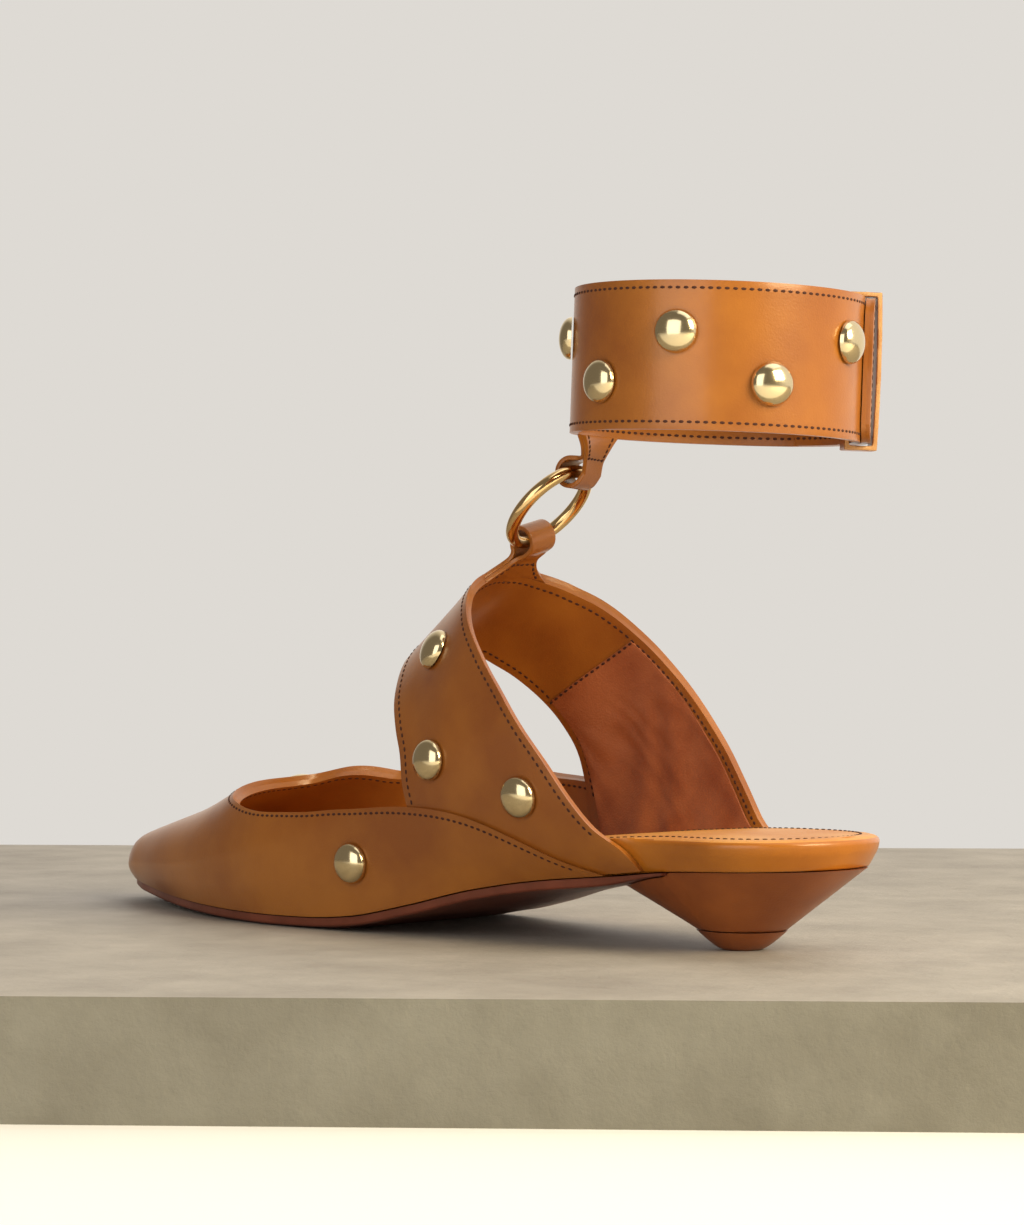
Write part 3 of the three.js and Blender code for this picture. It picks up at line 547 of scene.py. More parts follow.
# Glove lining: thinner and redder, with the wrinkles of a skin pulled over the last
lining_leather = leather("calf_lining", "#ad6842", "#93502f", 14, 0.6, 0.3, 0.38, 0.2)
# Footbed cover: a paler, drier tan
bed_leather = leather("footbed_cover", "#d4964a", "#c27e36", 18, 0.5, 0.2, 0.48)
# Rolled rim of the footbed: glazed calf pulled tight over the edge
rim_leather = leather("rolled_rim", "#b4701f", "#9a5a16", 20, 0.5, 0.1, 0.32, 0.35)
# Heel wrap: the same hide pulled thin and stained redder
wrap_leather = leather("heel_wrap", "#9a5422", "#7e3f1a", 20, 0.5, 0.12, 0.38, 0.2)
# Sole leather with a stained and waxed edge
stained_sole = leather("stained_sole", "#7d3f2c", "#622e1f", 16, 0.5, 0.15, 0.42)
# Glue line between the two plies of an edge: a dark hairline
glue_line = plain("glue_line", "#5a2c10", 0.7)
# Linen thread in its holes, coloured dark as painted shade of the stitch holes: it reads as a row of dark
# dashes
thread_painted_hole_shade = plain("thread_painted_hole_shade", "#401c08", 0.85)
# Lacquered brass domes, polished and a little soft from the lacquer
lacquered_brass = metal("lacquered_brass", "#dcc99e", 0.16)
# Plated wire ring, the brightest metal on the shoe
gold_plate = metal("gold_plate", "#dcbb84", 0.1)


# Upper: instep band and vamp
BAND_FOOT = 0.9985


def band_turn(u):
    return -BAND_FOOT * math.cos(math.pi * u)


def band_skin(out, inset=0.0):
    def at(u, v):
        turn = band_turn(u)
        back = band_edge("back", turn, inset)
        front = band_edge("front", turn, -inset)
        return last_point(mix(back, front, v), turn, out)
    return at


instep_band = two_sided("instep_band", 120, 18, band_skin(BAND_WALL), band_skin(0.0))
finish_piece(instep_band, "shoe", "calf", ["upper"], glazed_calf, edge_leather, lining_leather, glue_line)

VAMP_SPANS = ((0, 0.16, 6), (0.16, 0.44, 10), (0.44, 0.58, 12), (0.58, 0.84, 10), (0.84, 1, 6))


def vamp_step(u):
    left = u * sum(count for _, _, count in VAMP_SPANS)
    for start, end, count in VAMP_SPANS:
        if left <= count:
            return mix(start, end, left / count)
        left -= count
    return 1.0


def vamp_skin(out):
    return lambda u, v: vamp_point(vamp_step(u), v, out)


vamp = two_sided("vamp", 176, 26, vamp_skin(VAMP_WALL), vamp_skin(LINING_STEP))
finish_piece(vamp, "shoe", "calf", [], glazed_calf, edge_leather, lining_leather, glue_line)

# Lining of the band below its seam: wrinkled where the skin was pulled over the last
SEAM_TURN = 0.56
LINING_FOOT = 0.992
LINING_OUT = 0.05
LINING_IN = -0.45


def crease(turn, share):
    """Long soft creases that fan up from the waist, deepest low down."""
    depth = smooth(0.62, 0.8, abs(turn)) * (1 - smooth(0.965, 0.995, abs(turn)))
    wave = math.sin(share * 19 + turn * 31 + 1.7 * math.sin(share * 7 + turn * 11))
    cross = math.sin(share * 43 - turn * 47 + 2.1 * math.sin(share * 13))
    return depth * (0.28 * wave + 0.12 * cross)


def lining_skin(side, out):
    def at(u, v):
        turn = side * mix(SEAM_TURN, LINING_FOOT, u)
        share = mix(0.06, 0.94, v)
        along = mix(band_edge("back", turn, 0), band_edge("front", turn, 0), share)
        return last_point(along, turn, out + crease(turn, share))
    return at


for side, side_name in ((1, "outer"), (-1, "inner")):
    skin = two_sided("creased_lining_" + side_name, 60, 40,
                     lining_skin(side, LINING_OUT), lining_skin(side, LINING_IN), 0.15)
    finish_piece(skin, "shoe", "calf", [], lining_leather, lining_leather, lining_leather, lining_leather)


# Outsole
SOLE_REAR = 4
SKIVED = 0.7
SOLE_WALL = VAMP_WALL - SKIVED
SOLE_BEVEL = 0.5


def sole_edge_low(along):
    return feather_height(along) - mix(SKIVED, SOLE_EDGE, smooth(SOLE_REAR, SOLE_REAR + 24, along))


def sole_half(along, side):
    return last_half_width(min(along, TOE_AT), side, side, SOLE_WALL)


def sole_belly(along, v):
    flat = 0.74 * smooth(60, 108, along)
    out = clamp01((abs(v) - flat) / (1 - flat))
    low = min(sole_middle(share_at(along)) * HEEL_HEIGHT, sole_edge_low(along) - 0.05)
    return (low - sole_edge_low(along)) * (1 - out ** mix(2.2, 1.8, smooth(60, 100, along)))


def sole_skin(u, v):
    along = mix(SOLE_REAR, TOE_AT, 1 - (1 - u) ** 1.35)
    side = 1 if v < 0.5 else -1
    q = v * 2 if v < 0.5 else 2 - v * 2
    forward = along + SOLE_WALL * smooth(TOE_AT * 0.65, TOE_AT, along)
    half = sole_half(along, side)
    if q < 0.6:
        w = q / 0.6
        reach = max(0, half - SOLE_BEVEL) * w
        high = sole_edge_low(along) + sole_belly(along, w)
    elif q < 0.7:
        w = (q - 0.6) / 0.1
        reach = max(0, half - SOLE_BEVEL * (1 - math.sin(w * math.pi / 2)))
        high = mix(sole_edge_low(along), feather_height(along), 0.25 * w)
    elif q < 0.8:
        reach = half
        high = mix(sole_edge_low(along), feather_height(along), mix(0.25, 1, (q - 0.7) / 0.1))
    else:
        reach = half * (1 - (q - 0.8) / 0.2)
        high = feather_height(along)
    return place(forward, side * reach + drift(along), high)


outsole = shaped_grid("outsole_leather", 120, 80, sole_skin)
edit(outsole, lambda: bpy.ops.mesh.remove_doubles(threshold=MERGE),
     lambda: bpy.ops.mesh.select_all(action="DESELECT"),
     lambda: bpy.ops.mesh.select_mode(type="EDGE"),
     lambda: bpy.ops.mesh.select_non_manifold(),
     lambda: bpy.ops.mesh.fill(),
     lambda: bpy.ops.mesh.select_all(action="SELECT"),
     lambda: bpy.ops.mesh.normals_make_consistent(inside=False))
smooth_faces(outsole, 40)
finish_piece(outsole, "shoe", "sole_leather", ["outsole"], stained_sole)

# Footbed with its rolled rim
SEAT_MIDDLE = 8
SEAT_ROUND = SEAT_WIDTH / 2
BED_TIP = TOE_AT - 9
BED_HALF = 36
BED_CLEAR = 0.35
BED_NOSE = 16
BED_CROWN = 0.25
WAIST_FROM, WAIST_TO = 4, 17


def bed_top(along):
    return (HEEL_HEIGHT + SEAT_THICKNESS) * bed_height(share_at(along)) / BED[0]["top"]


def turn_at_height(along, high):
    foot = feather_height(along) + GAP
    ridge = last_curve["ridge"](share_at(along)) * INSTEP_HEIGHT
    return math.sqrt(clamp01(1 - (high - foot) / ((ridge - foot) * nose_round(along, 2.5))))


def bed_edge(share, side, level, inset):
    rear = -SEAT_MIDDLE - SEAT_ROUND + inset
    end = BED_TIP - inset * 0.3
    along = mix(rear, end, share)
    high = mix(feather_height(along) + GAP, bed_top(along), level)
    back = clamp01((-SEAT_MIDDLE - along) / (SEAT_ROUND - inset))
    rim = (SEAT_ROUND - inset) * math.sqrt(max(0, 1 - back * back))
    inside = last_half_width(along, side * turn_at_height(along, high), side, 0) - BED_CLEAR
    tip = math.sqrt(1 - clamp01((along - end + BED_NOSE) / BED_NOSE) ** 2)
    half = mix(rim, min(inside, BED_HALF), smooth(WAIST_FROM, WAIST_TO, along)) * tip
    return along, max(0, half), high


def bed_station(u):
    if u < 0.25:
        return 0.115 * (1 - math.cos(u / 0.25 * math.pi / 2))
    if u < 0.8:
        return mix(0.115, 0.93, (u - 0.25) / 0.55)
    return 0.93 + 0.07 * math.sin((u - 0.8) / 0.2 * math.pi / 2)


def bed_skin(u, v):
    share = bed_station(u)
    side = 1 if v < 0.5 else -1
    q = v * 2 if v < 0.5 else 2 - v * 2
    level = clamp01((q - 0.15) / 0.55)
    level = level if level < 0.7 else mix(0.7, 1, math.sin((level - 0.7) / 0.3 * math.pi / 2))
    along, half, high = bed_edge(share, side, level, rim_inset(level))
    if q < 0.15:
        half *= q / 0.15
    if q > 0.7:
        half *= 1 - (q - 0.7) / 0.3
        high += BED_CROWN * math.sin((q - 0.7) / 0.3 * math.pi / 2)
    return place(along, side * half + drift(along), high)


footbed = shaped_grid("padded_footbed", 150, 80, bed_skin)
close_up(footbed)
smooth_faces(footbed, 70)
finish_piece(footbed, "shoe", "footbed_leather", ["footbed"], rim_leather, bed_leather)
for face in footbed.data.polygons:
    along = (TIP_Y - face.center.y) / MM
    face.material_index = 1 if face.normal.z > 0.85 and face.center.z / MM > bed_top(along) - 0.5 else 0

# Heel and its top lift
HEEL_MIDDLE = -1.2


def under_seat(along, across):
    if along < SOLE_REAR:
        return feather_height(along) + GAP
    half = sole_half(along, 1 if across >= 0 else -1)
    return sole_edge_low(along) + sole_belly(along, min(1, abs(across) / half))


def oval(turn, size, middle):
    return middle + math.cos(turn) * size[0] / 2, math.sin(turn) * size[1] / 2


def heel_skin(u, v):
    turn = u * math.tau
    low = oval(turn, HEEL_NECK, 0)
    top = oval(turn, HEEL_TOP, HEEL_MIDDLE)
    rise = clamp01((v - 0.1) / 0.8) * 0.985
    inward = clamp01(v / 0.1) * clamp01((1 - v) / 0.1)
    along = mix(low[0], top[0], rise)
    across = mix(low[1], top[1], rise)
    high = mix(LIFT_HEIGHT + GAP, under_seat(*top), rise)
    centre = mix(0, HEEL_MIDDLE, rise)
    if v > 0.9:
        high = min(high, under_seat(mix(centre, along, inward), across * inward) - GAP)
    return place(mix(centre, along, inward), across * inward, high)


heel = shaped_grid("heel_cone", 96, 40, heel_skin)
close_up(heel)
smooth_faces(heel, 45)
finish_piece(heel, "shoe", "heel_leather", ["heel"], wrap_leather)


def lift_skin(u, v):
    turn = u * math.tau
    high = clamp01((v - 0.12) / 0.76)
    inward = clamp01(v / 0.12) * clamp01((1 - v) / 0.12)
    share = lift_share(high)
    size = (mix(LIFT_FLAT, HEEL_NECK[0], share), mix(LIFT_FLAT, HEEL_NECK[1], share))
    along, across = oval(turn, size, 0)
    return place(along * inward, across * inward, high * LIFT_HEIGHT)


top_lift = shaped_grid("top_lift_cap", 72, 32, lift_skin)
close_up(top_lift)
smooth_faces(top_lift, 45)
finish_piece(top_lift, "shoe", "heel_leather", ["top_lift"], wrap_leather)

# Ring
ring_low, ring_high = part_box("o_ring")
RING_NORMAL = Vector((0.137, -0.721, 0.68)).normalized()
RING_UP = Vector((0, 0.686, 0.7275)).normalized()
RING_ASIDE = RING_NORMAL.cross(RING_UP).normalized()
ring_middle = (ring_low + ring_high) / 2
deselect()
bpy.ops.mesh.primitive_torus_add(major_radius=RING_RADIUS * MM, minor_radius=RING_WIRE * MM,
                                 major_segments=112, minor_segments=28)
ring = bpy.context.object
ring.name = "wire_ring"
ring.data.transform(Matrix((RING_UP, RING_ASIDE, RING_NORMAL)).transposed().to_4x4())
ring.data.transform(Matrix.Translation(ring_middle))
smooth_faces(ring, 180)
finish_piece(ring, "ring", "brass", ["o_ring"], gold_plate)


def soft_copy(node, name, step, passes):
    """A copy of a solid, remade in a fine even mesh and softened like creased leather."""
    deselect()
    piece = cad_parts[node].copy()
    piece.data = piece.data.copy()
    piece.name = name
    bpy.context.scene.collection.objects.link(piece)
    piece.parent = None
    piece.matrix_world = Matrix.Identity(4)
    edit(piece, lambda: bpy.ops.mesh.remove_doubles(threshold=0.000001))
    apply(piece, "REMESH", mode="VOXEL", voxel_size=step * MM)
    apply(piece, "SMOOTH", factor=0.5, iterations=passes)
    smooth_faces(piece, 60)
    return piece


# Ankle cuff
LAP_END = -149
KEEPER_AT = -132
CUFF_TURN = 360 + CUFF_LAP
CUFF_CORNER = 5
CUFF_STEP = 46
LEAN_AXIS = Vector((0.766, 0.643, 0))
cuff_middle = place(CUFF_ALONG, CUFF_ACROSS, CUFF_BOTTOM + CUFF_HEIGHT / 2)
cuff_tilt = (Matrix.Translation(cuff_middle)
             @ Matrix.Rotation(math.radians(-CUFF_LEAN), 4, LEAN_AXIS)
             @ Matrix.Translation(-cuff_middle))


def cuff_place(degrees, radius, high):
    angle = math.radians(degrees)
    return cuff_tilt @ place(CUFF_ALONG + math.cos(angle) * radius,
                             CUFF_ACROSS + math.sin(angle) * radius, high)


def cuff_point(turned, high, out):
    lap = (CUFF_WALL + GAP) * (1 - smooth(CUFF_LAP, CUFF_LAP + CUFF_STEP, turned))
    return cuff_place(LAP_END + turned, CUFF_RADIUS - CUFF_WALL + out + lap, high)


def cuff_outward(degrees):
    angle = math.radians(degrees)
    return cuff_tilt.to_3x3() @ Vector((math.sin(angle), -math.cos(angle), 0))


def cuff_height(turned, up):
    """The strap's height at a place, with its outer end cut round at both corners."""
    s = clamp01(1 - math.radians(turned) * (CUFF_RADIUS + 2.5) / CUFF_CORNER)
    cut = CUFF_CORNER * (1 - math.sqrt(1 - s * s))
    return mix(CUFF_BOTTOM + cut, CUFF_BOTTOM + CUFF_HEIGHT - cut, up)


def cuff_skin(out):
    def at(u, v):
        turned = 8 * (u / 0.06) ** 2 if u < 0.06 else mix(8, CUFF_TURN, (u - 0.06) / 0.94)
        return cuff_point(turned, cuff_height(turned, v), out)
    return at


# Keeper: its cut sides show the raw leather
keeper = soft_copy("keeper", "keeper_loop", 0.22, 9)
finish_piece(keeper, "shoe", "calf", ["keeper"], glazed_calf, raw_edge)
beside = (cuff_place(KEEPER_AT + 1, CUFF_RADIUS, 0) - cuff_place(KEEPER_AT - 1, CUFF_RADIUS, 0)).normalized()
for face in keeper.data.polygons:
    face.material_index = 1 if abs(face.normal.dot(beside)) > 0.75 else 0

cuff = two_sided("cuff_strap", 260, 14, cuff_skin(CUFF_WALL), cuff_skin(0))
finish_piece(cuff, "shoe", "calf", ["ankle_cuff"], glazed_calf, edge_leather, lining_leather, glue_line)


# Studs
DOME_FOOT = 0.14
DOME_UNDER = 0.10


def dome(name, middle, outward):
    """A domed stud with a low upright foot, named for the solid that it dresses."""
    deselect()
    bpy.ops.mesh.primitive_uv_sphere_add(segments=36, ring_count=20, radius=1)
    stud = bpy.context.object
    stud.name = name
    edit(stud, lambda: bpy.ops.mesh.bisect(plane_co=(0, 0, 0), plane_no=(0, 0, 1),
                                           clear_inner=True, use_fill=True))
    for v in stud.data.vertices:
        around = math.hypot(v.co.x, v.co.y)
        high = (DOME_FOOT if around > 0.02 or v.co.z > 0.5 else 0) + (1 - DOME_FOOT) * v.co.z
        if v.co.z < 0.01:
            high = DOME_UNDER
        v.co = Vector((v.co.x * STUD_WIDTH / 2, v.co.y * STUD_WIDTH / 2, high * STUD_HEIGHT)) * MM
    turn = Vector((0, 0, 1)).rotation_difference(outward).to_matrix().to_4x4()
    stud.data.transform(Matrix.Translation(middle) @ turn)
    smooth_faces(stud, 50)
    return finish_piece(stud, "shoe", "brass", [name.removesuffix("_dome")], lacquered_brass)


def upper_outward(along, turn, out):
    forward = last_point(along + 1, turn, out) - last_point(along - 1, turn, out)
    over = last_point(along, turn - 0.02, out) - last_point(along, turn + 0.02, out)
    outward = forward.cross(over).normalized()
    if outward.dot(Vector((turn, 0, 0.5))) < 0:
        outward.negate()
    return outward


UPPER_STUDS = table(("name", "at", "turn", "out"), [
    ("band_stud_outer_front", 0.434, 0.500, BAND_WALL),
    ("band_stud_inner_front", 0.434, -0.500, BAND_WALL),
    ("band_stud_outer_low_front", 0.411, 0.780, BAND_WALL),
    ("band_stud_inner_low_front", 0.411, -0.780, BAND_WALL),
    ("band_stud_outer_low_back", 0.294, 0.897, BAND_WALL),
    ("band_stud_inner_low_back", 0.294, -0.897, BAND_WALL),
    ("vamp_stud_outer", 0.521, 0.902, VAMP_WALL),
    ("vamp_stud_inner", 0.521, -0.902, VAMP_WALL),
    ("vamp_stud_front", 0.782, -0.120, VAMP_WALL),
])
for row in UPPER_STUDS:
    along = row["at"] * SHOE_LENGTH - SEAT_BACK
    outward = upper_outward(along, row["turn"], row["out"])
    dome(row["name"] + "_dome", last_point(along, row["turn"], row["out"]), outward)
CUFF_STUD_ANGLES = (-34, 3, 41.5, 79.5, 114, 151.5, 191.5)
STUD_ROWS = (0.655, 0.325)
for i, degrees in enumerate(CUFF_STUD_ANGLES):
    high = CUFF_BOTTOM + CUFF_HEIGHT * STUD_ROWS[i % 2]
    middle = cuff_point(degrees - LAP_END, high, CUFF_WALL)
    dome("cuff_stud_%d_dome" % (i + 1), middle, cuff_outward(degrees))


# Stitches: one short stitch, copied along each row
def evenly_along(path, pitch):
    """Points at one pitch along a path, each with its outward direction and its tangent."""
    lengths = [0.0]
    for (a, _), (b, _) in zip(path, path[1:]):
        lengths.append(lengths[-1] + (b - a).length)
    count = max(1, round(lengths[-1] / pitch))
    places = []
    i = 0
    for n in range(count + 1):
        want = lengths[-1] * n / count
        while i < len(path) - 2 and lengths[i + 1] < want:
            i += 1
        share = (want - lengths[i]) / max(1e-9, lengths[i + 1] - lengths[i])
        point = path[i][0].lerp(path[i + 1][0], share)
        outward = path[i][1].lerp(path[i + 1][1], share).normalized()
        tangent = (path[i + 1][0] - path[i][0]).normalized()
        places.append((point, outward, tangent))
    return places


STITCH_HALF = (0.66, 0.36, 0.16)
STITCH_LIFT = 0.02
deselect()
bpy.ops.mesh.primitive_uv_sphere_add(segments=8, ring_count=6, radius=1)
one_stitch = bpy.context.object
for v in one_stitch.data.vertices:
    v.co = Vector((v.co.x * STITCH_HALF[0], v.co.y * STITCH_HALF[1],
                   v.co.z * STITCH_HALF[2] + STITCH_LIFT)) * MM


def stitch_row(name, path, record_slot="calf", pitch=STITCH_PITCH):
    copies = []
    for point, outward, tangent in evenly_along(path, pitch * MM):
        side = outward.cross(tangent).normalized()
        ahead = side.cross(outward).normalized()
        copy = bpy.data.objects.new(name, one_stitch.data.copy())
        turn = Matrix((ahead, side, outward)).transposed().to_4x4()
        copy.data.transform(Matrix.Translation(point) @ turn)
        bpy.context.scene.collection.objects.link(copy)
        copies.append(copy)
    deselect()
    for copy in copies:
        copy.select_set(True)
    bpy.context.view_layer.objects.active = copies[0]
    bpy.ops.object.join()
    row = bpy.context.object
    smooth_faces(row, 60)
    return finish_piece(row, "shoe", record_slot, [], thread_painted_hole_shade)


def upper_path(places, out, inward=False):
    path = []
    for along, turn in places:
        outward = upper_outward(along, turn, out)
        path.append((last_point(along, turn, out), -outward if inward else outward))
    return path


EDGE_ROW = 1.9
turns = [mix(-0.955, 0.955, i / 240) for i in range(241)]
back_row = [(band_edge("back", turn, EDGE_ROW), turn) for turn in turns]
turns = [mix(-0.835, 0.835, i / 200) for i in range(201)]
front_row = [(band_edge("front", turn, -EDGE_ROW), turn) for turn in turns]
stitch_row("band_back_stitches", upper_path(back_row, BAND_WALL))
stitch_row("band_back_stitches_inside", upper_path(back_row, 0, True))
stitch_row("band_front_stitches", upper_path(front_row, BAND_WALL))
stitch_row("band_front_stitches_inside", upper_path(front_row, 0, True))


def vamp_path(out, inward):
    """A row under the throat's top line, EDGE_ROW down from it."""
    path = []
    for i in range(401):
        step = mix(0.045, 0.955, i / 400)
        top = vamp_point(step, 0, out)
        down = gone = before = 0.0
        while gone < EDGE_ROW * MM and down < 0.9:
            before = gone
            down += 0.01
            gone = (vamp_point(step, down, out) - top).length
        down -= 0.01 * (gone - EDGE_ROW * MM) / (gone - before)
        point = vamp_point(step, down, out)
        over = vamp_point(step + 0.004, down, out) - vamp_point(step - 0.004, down, out)
        fall = vamp_point(step, down + 0.01, out) - point
        outward = over.cross(fall).normalized()
        if outward.z < 0 and abs(outward.z) > 0.5 or outward.x * (0.5 - step) < -0.2:
            outward.negate()
        path.append((point, -outward if inward else outward))
    return path


stitch_row("vamp_top_stitches", vamp_path(VAMP_WALL, False))
stitch_row("vamp_top_stitches_inside", vamp_path(LINING_STEP, True))

seam = []
for i in range(41):
    share = mix(0.07, 0.93, i / 40)
    turn = -SEAM_TURN
    along = mix(band_edge("back", turn, 0), band_edge("front", turn, 0), share)
    seam.append((last_point(along, turn - 0.005, -0.5), -upper_outward(along, turn, 0)))
stitch_row("lining_seam_stitches", seam)


def cuff_path(edge, out, inward):
    path = []
    for i in range(400):
        turned = mix(5, CUFF_TURN - 2, i / 399)
        high = cuff_height(turned, edge) + (EDGE_ROW if edge == 0 else -EDGE_ROW)
        outward = cuff_outward(LAP_END + turned)
        path.append((cuff_point(turned, high, out), -outward if inward else outward))
    return path


for edge, edge_name in ((0, "low"), (1, "high")):
    stitch_row("cuff_stitches_" + edge_name, cuff_path(edge, CUFF_WALL, False))
    stitch_row("cuff_stitches_inside_" + edge_name, cuff_path(edge, 0, True))

END_ROW = 3
end_row = []
for i in range(21):
    high = cuff_height(END_ROW, mix(0.1, 0.9, i / 20))
    end_row.append((cuff_point(END_ROW, high, CUFF_WALL), cuff_outward(LAP_END + END_ROW)))
stitch_row("cuff_end_stitches", end_row)

BED_ROW = 4.6
BED_ROW_END = 44
bed_row = []
for i in range(161):
    q = mix(-1, 1, i / 160)
    side = 1 if q >= 0 else -1
    along = mix(-SEAT_MIDDLE - SEAT_ROUND + BED_ROW, BED_ROW_END, abs(q) ** 1.6)
    back = clamp01((-SEAT_MIDDLE - along) / (SEAT_ROUND - BED_ROW))
    half = (SEAT_ROUND - BED_ROW) * math.sqrt(1 - back * back)
    inside = last_half_width(along, side * turn_at_height(along, bed_top(along)), side, 0) - 4.4
    half = mix(half, inside, smooth(WAIST_FROM, WAIST_TO, along))
    bed_row.append((place(along, side * half, bed_top(along) + 0.12), Vector((0, 0, 1))))
stitch_row("footbed_stitches", bed_row, "footbed_leather")

# Tabs: a strap folded round the ring's wire, its two plies sewn together below the loop
TAB_HOLE = 2.9
TAB_LEATHER = 1.5
TAB_PLY = 1.2
TAB_WIDTH = 8.8
LOOP = TAB_HOLE + TAB_LEATHER / 2
LOOP_OPENS = math.radians(64)
NECK = LOOP * 2.15
NECK_ROW = NECK + 0.4
RING_SWING = math.radians(11)
ROOT_SUNK = 0.3
TAB_PITCH = 1.6
TAB_ROWS = 0.76
PLY_SHARE = 0.38
INSTEP_ROOT_WIDTH = 27
INSTEP_ROOT_TURN = 0.185
INSTEP_EXIT = Vector((0, 0.76, 0.65))
CUFF_ROOT_WIDTH = 17
CUFF_ROOT_ANGLE = 10


class Tab:
    """One tab: up is 1 above the ring and -1 below it, root gives the edge it is sewn to."""

    def __init__(self, up_sign, slack, root, exit_way, reach, root_width):
        away = RING_UP * up_sign * math.cos(RING_SWING) + RING_ASIDE * math.sin(RING_SWING)
        self.middle = ring_middle + away * (RING_RADIUS - slack) * MM
        self.axis = -RING_ASIDE * math.cos(RING_SWING) + RING_UP * up_sign * math.sin(RING_SWING)
        self.root, self.exit_way, self.reach, self.root_width = root, exit_way, reach, root_width
        to_root = self.control(0) - self.middle
        self.to_root = (to_root - self.axis * to_root.dot(self.axis)).normalized()
        self.flat = self.axis.cross(self.to_root)
        spine = [self.point(i / 40, 0) for i in range(41)]
        self.length = sum((b - a).length for a, b in zip(spine, spine[1:])) / MM

    def control(self, v):
        return self.root(v) + self.exit_way * self.reach * MM

    def point(self, s, v):
        plain_width = mix(TAB_WIDTH, self.root_width, 1 - (1 - s) ** 2)
        share = v * mix(TAB_WIDTH, self.root_width, s ** 2.6) / plain_width
        start = self.middle + self.to_root * LOOP * MM + self.axis * share * TAB_WIDTH / 2 * MM
        return (start * (1 - s) ** 2 + self.control(share) * 2 * s * (1 - s)
                + self.root(share) * s * s)

    def outward(self, s, v):
        ahead = self.point(min(1, s + 0.01), v) - self.point(max(0, s - 0.01), v)
        across = self.point(s, min(1, v + 0.01)) - self.point(s, max(-1, v - 0.01))
        return self.flat.lerp(across.cross(ahead).normalized(), smooth(0, 0.3, s)).normalized()

    def ply(self, x, v, side, lift=0.0):
        """The middle of a ply, x below the loop's middle, and its outward direction."""
        low = (LOOP * math.cos(LOOP_OPENS), LOOP * math.sin(LOOP_OPENS))
        q = clamp01((x - low[0]) / (NECK - low[0]))
        fall = -(NECK - low[0]) / math.tan(LOOP_OPENS)
        open_by = (low[1] * (2 * q ** 3 - 3 * q ** 2 + 1) + TAB_PLY / 2 * (3 * q ** 2 - 2 * q ** 3)
                   + fall * (q ** 3 - 2 * q ** 2 + q))
        if x <= LOOP:
            base = self.middle + self.to_root * x * MM + self.axis * v * TAB_WIDTH / 2 * MM
            out = self.flat
        else:
            s = clamp01((x - LOOP) / self.length)
            base, out = self.point(s, v), self.outward(s, v)
        return base + out * side * (open_by + lift) * MM, out * side

    def strap(self, u, v):
        """The strap from one end of its root, round the wire and back to the other."""
        v = 2 * v - 1
        low = LOOP * math.cos(LOOP_OPENS)
        end = LOOP + self.length
        if u < PLY_SHARE:
            return self.ply(mix(end, low, u / PLY_SHARE), v, 1)[0]
        if u > 1 - PLY_SHARE:
            return self.ply(mix(low, end, (u - 1 + PLY_SHARE) / PLY_SHARE), v, -1)[0]
        turn = mix(LOOP_OPENS, math.tau - LOOP_OPENS, (u - PLY_SHARE) / (1 - 2 * PLY_SHARE))
        return (self.middle + self.axis * v * TAB_WIDTH / 2 * MM
                + (self.to_root * math.cos(turn) + self.flat * math.sin(turn)) * LOOP * MM)

    def build(self, node):
        piece = shaped_grid(node + "_strap", 120, 16, self.strap)
        piece.data.materials.append(None)
        piece.data.materials.append(None)
        apply(piece, "SOLIDIFY", thickness=TAB_PLY * MM, offset=0, use_rim=True,
              material_offset_rim=1)
        rounded(piece, 0.2, 2)
        smooth_faces(piece, 50)
        finish_piece(piece, "shoe", "calf", [node], glazed_calf, edge_leather)
        foot_row = LOOP + self.length - 0.8
        for side in (1, -1):
            for v in (TAB_ROWS, -TAB_ROWS):
                row = [self.ply(mix(NECK_ROW, foot_row, i / 30), v, side, TAB_PLY / 2)
                       for i in range(31)]
                stitch_row(node + "_stitches", row, pitch=TAB_PITCH)
            row = [self.ply(NECK_ROW, mix(-0.7, 0.7, i / 20), side, TAB_PLY / 2) for i in range(21)]
            stitch_row(node + "_cross_stitches", row, pitch=TAB_PITCH)


def instep_root(v):
    turn = v * INSTEP_ROOT_TURN
    return last_point(band_edge("back", turn, ROOT_SUNK), turn, BAND_WALL / 2)


def cuff_root(v):
    radius = CUFF_RADIUS - CUFF_WALL / 2
    degrees = CUFF_ROOT_ANGLE + math.degrees(v * CUFF_ROOT_WIDTH / 2 / radius)
    return cuff_place(degrees, radius, CUFF_BOTTOM + ROOT_SUNK)


cuff_exit = cuff_tilt.to_3x3() @ Vector((0, 0, -1))
Tab(-1, 0.8, instep_root, INSTEP_EXIT, 5, INSTEP_ROOT_WIDTH).build("instep_tab")
Tab(1, 0.4, cuff_root, cuff_exit, 4.5, CUFF_ROOT_WIDTH).build("cuff_tab")

bpy.data.objects.remove(one_stitch)

# Studio: pale floor, soft key from the camera's right, pale room
CAMERA_AZIMUTH = math.radians(130)
CAMERA_DISTANCE = 0.872
CAMERA_HEIGHT = 0.0837
CAMERA_OFFSET = 0.00698
CAMERA_PAN = math.radians(3.3)
LENS = 102.86
toward = Vector((math.sin(CAMERA_AZIMUTH), -math.cos(CAMERA_AZIMUTH), 0))
right = Vector((-toward.y, toward.x, 0))
tip = Vector((TIP_X, TIP_Y, CAMERA_HEIGHT))
eye = tip + toward * CAMERA_DISTANCE - right * CAMERA_OFFSET
looking = -toward * math.cos(CAMERA_PAN) - right * math.sin(CAMERA_PAN)
camera_data = bpy.data.cameras.new("photo_camera")
camera_data.lens = LENS
camera_data.sensor_width = 36
camera = bpy.data.objects.new("photo_camera", camera_data)
camera.location = eye
camera.rotation_euler = looking.to_track_quat("-Z", "Y").to_euler()
bpy.context.scene.collection.objects.link(camera)
bpy.context.scene.camera = camera

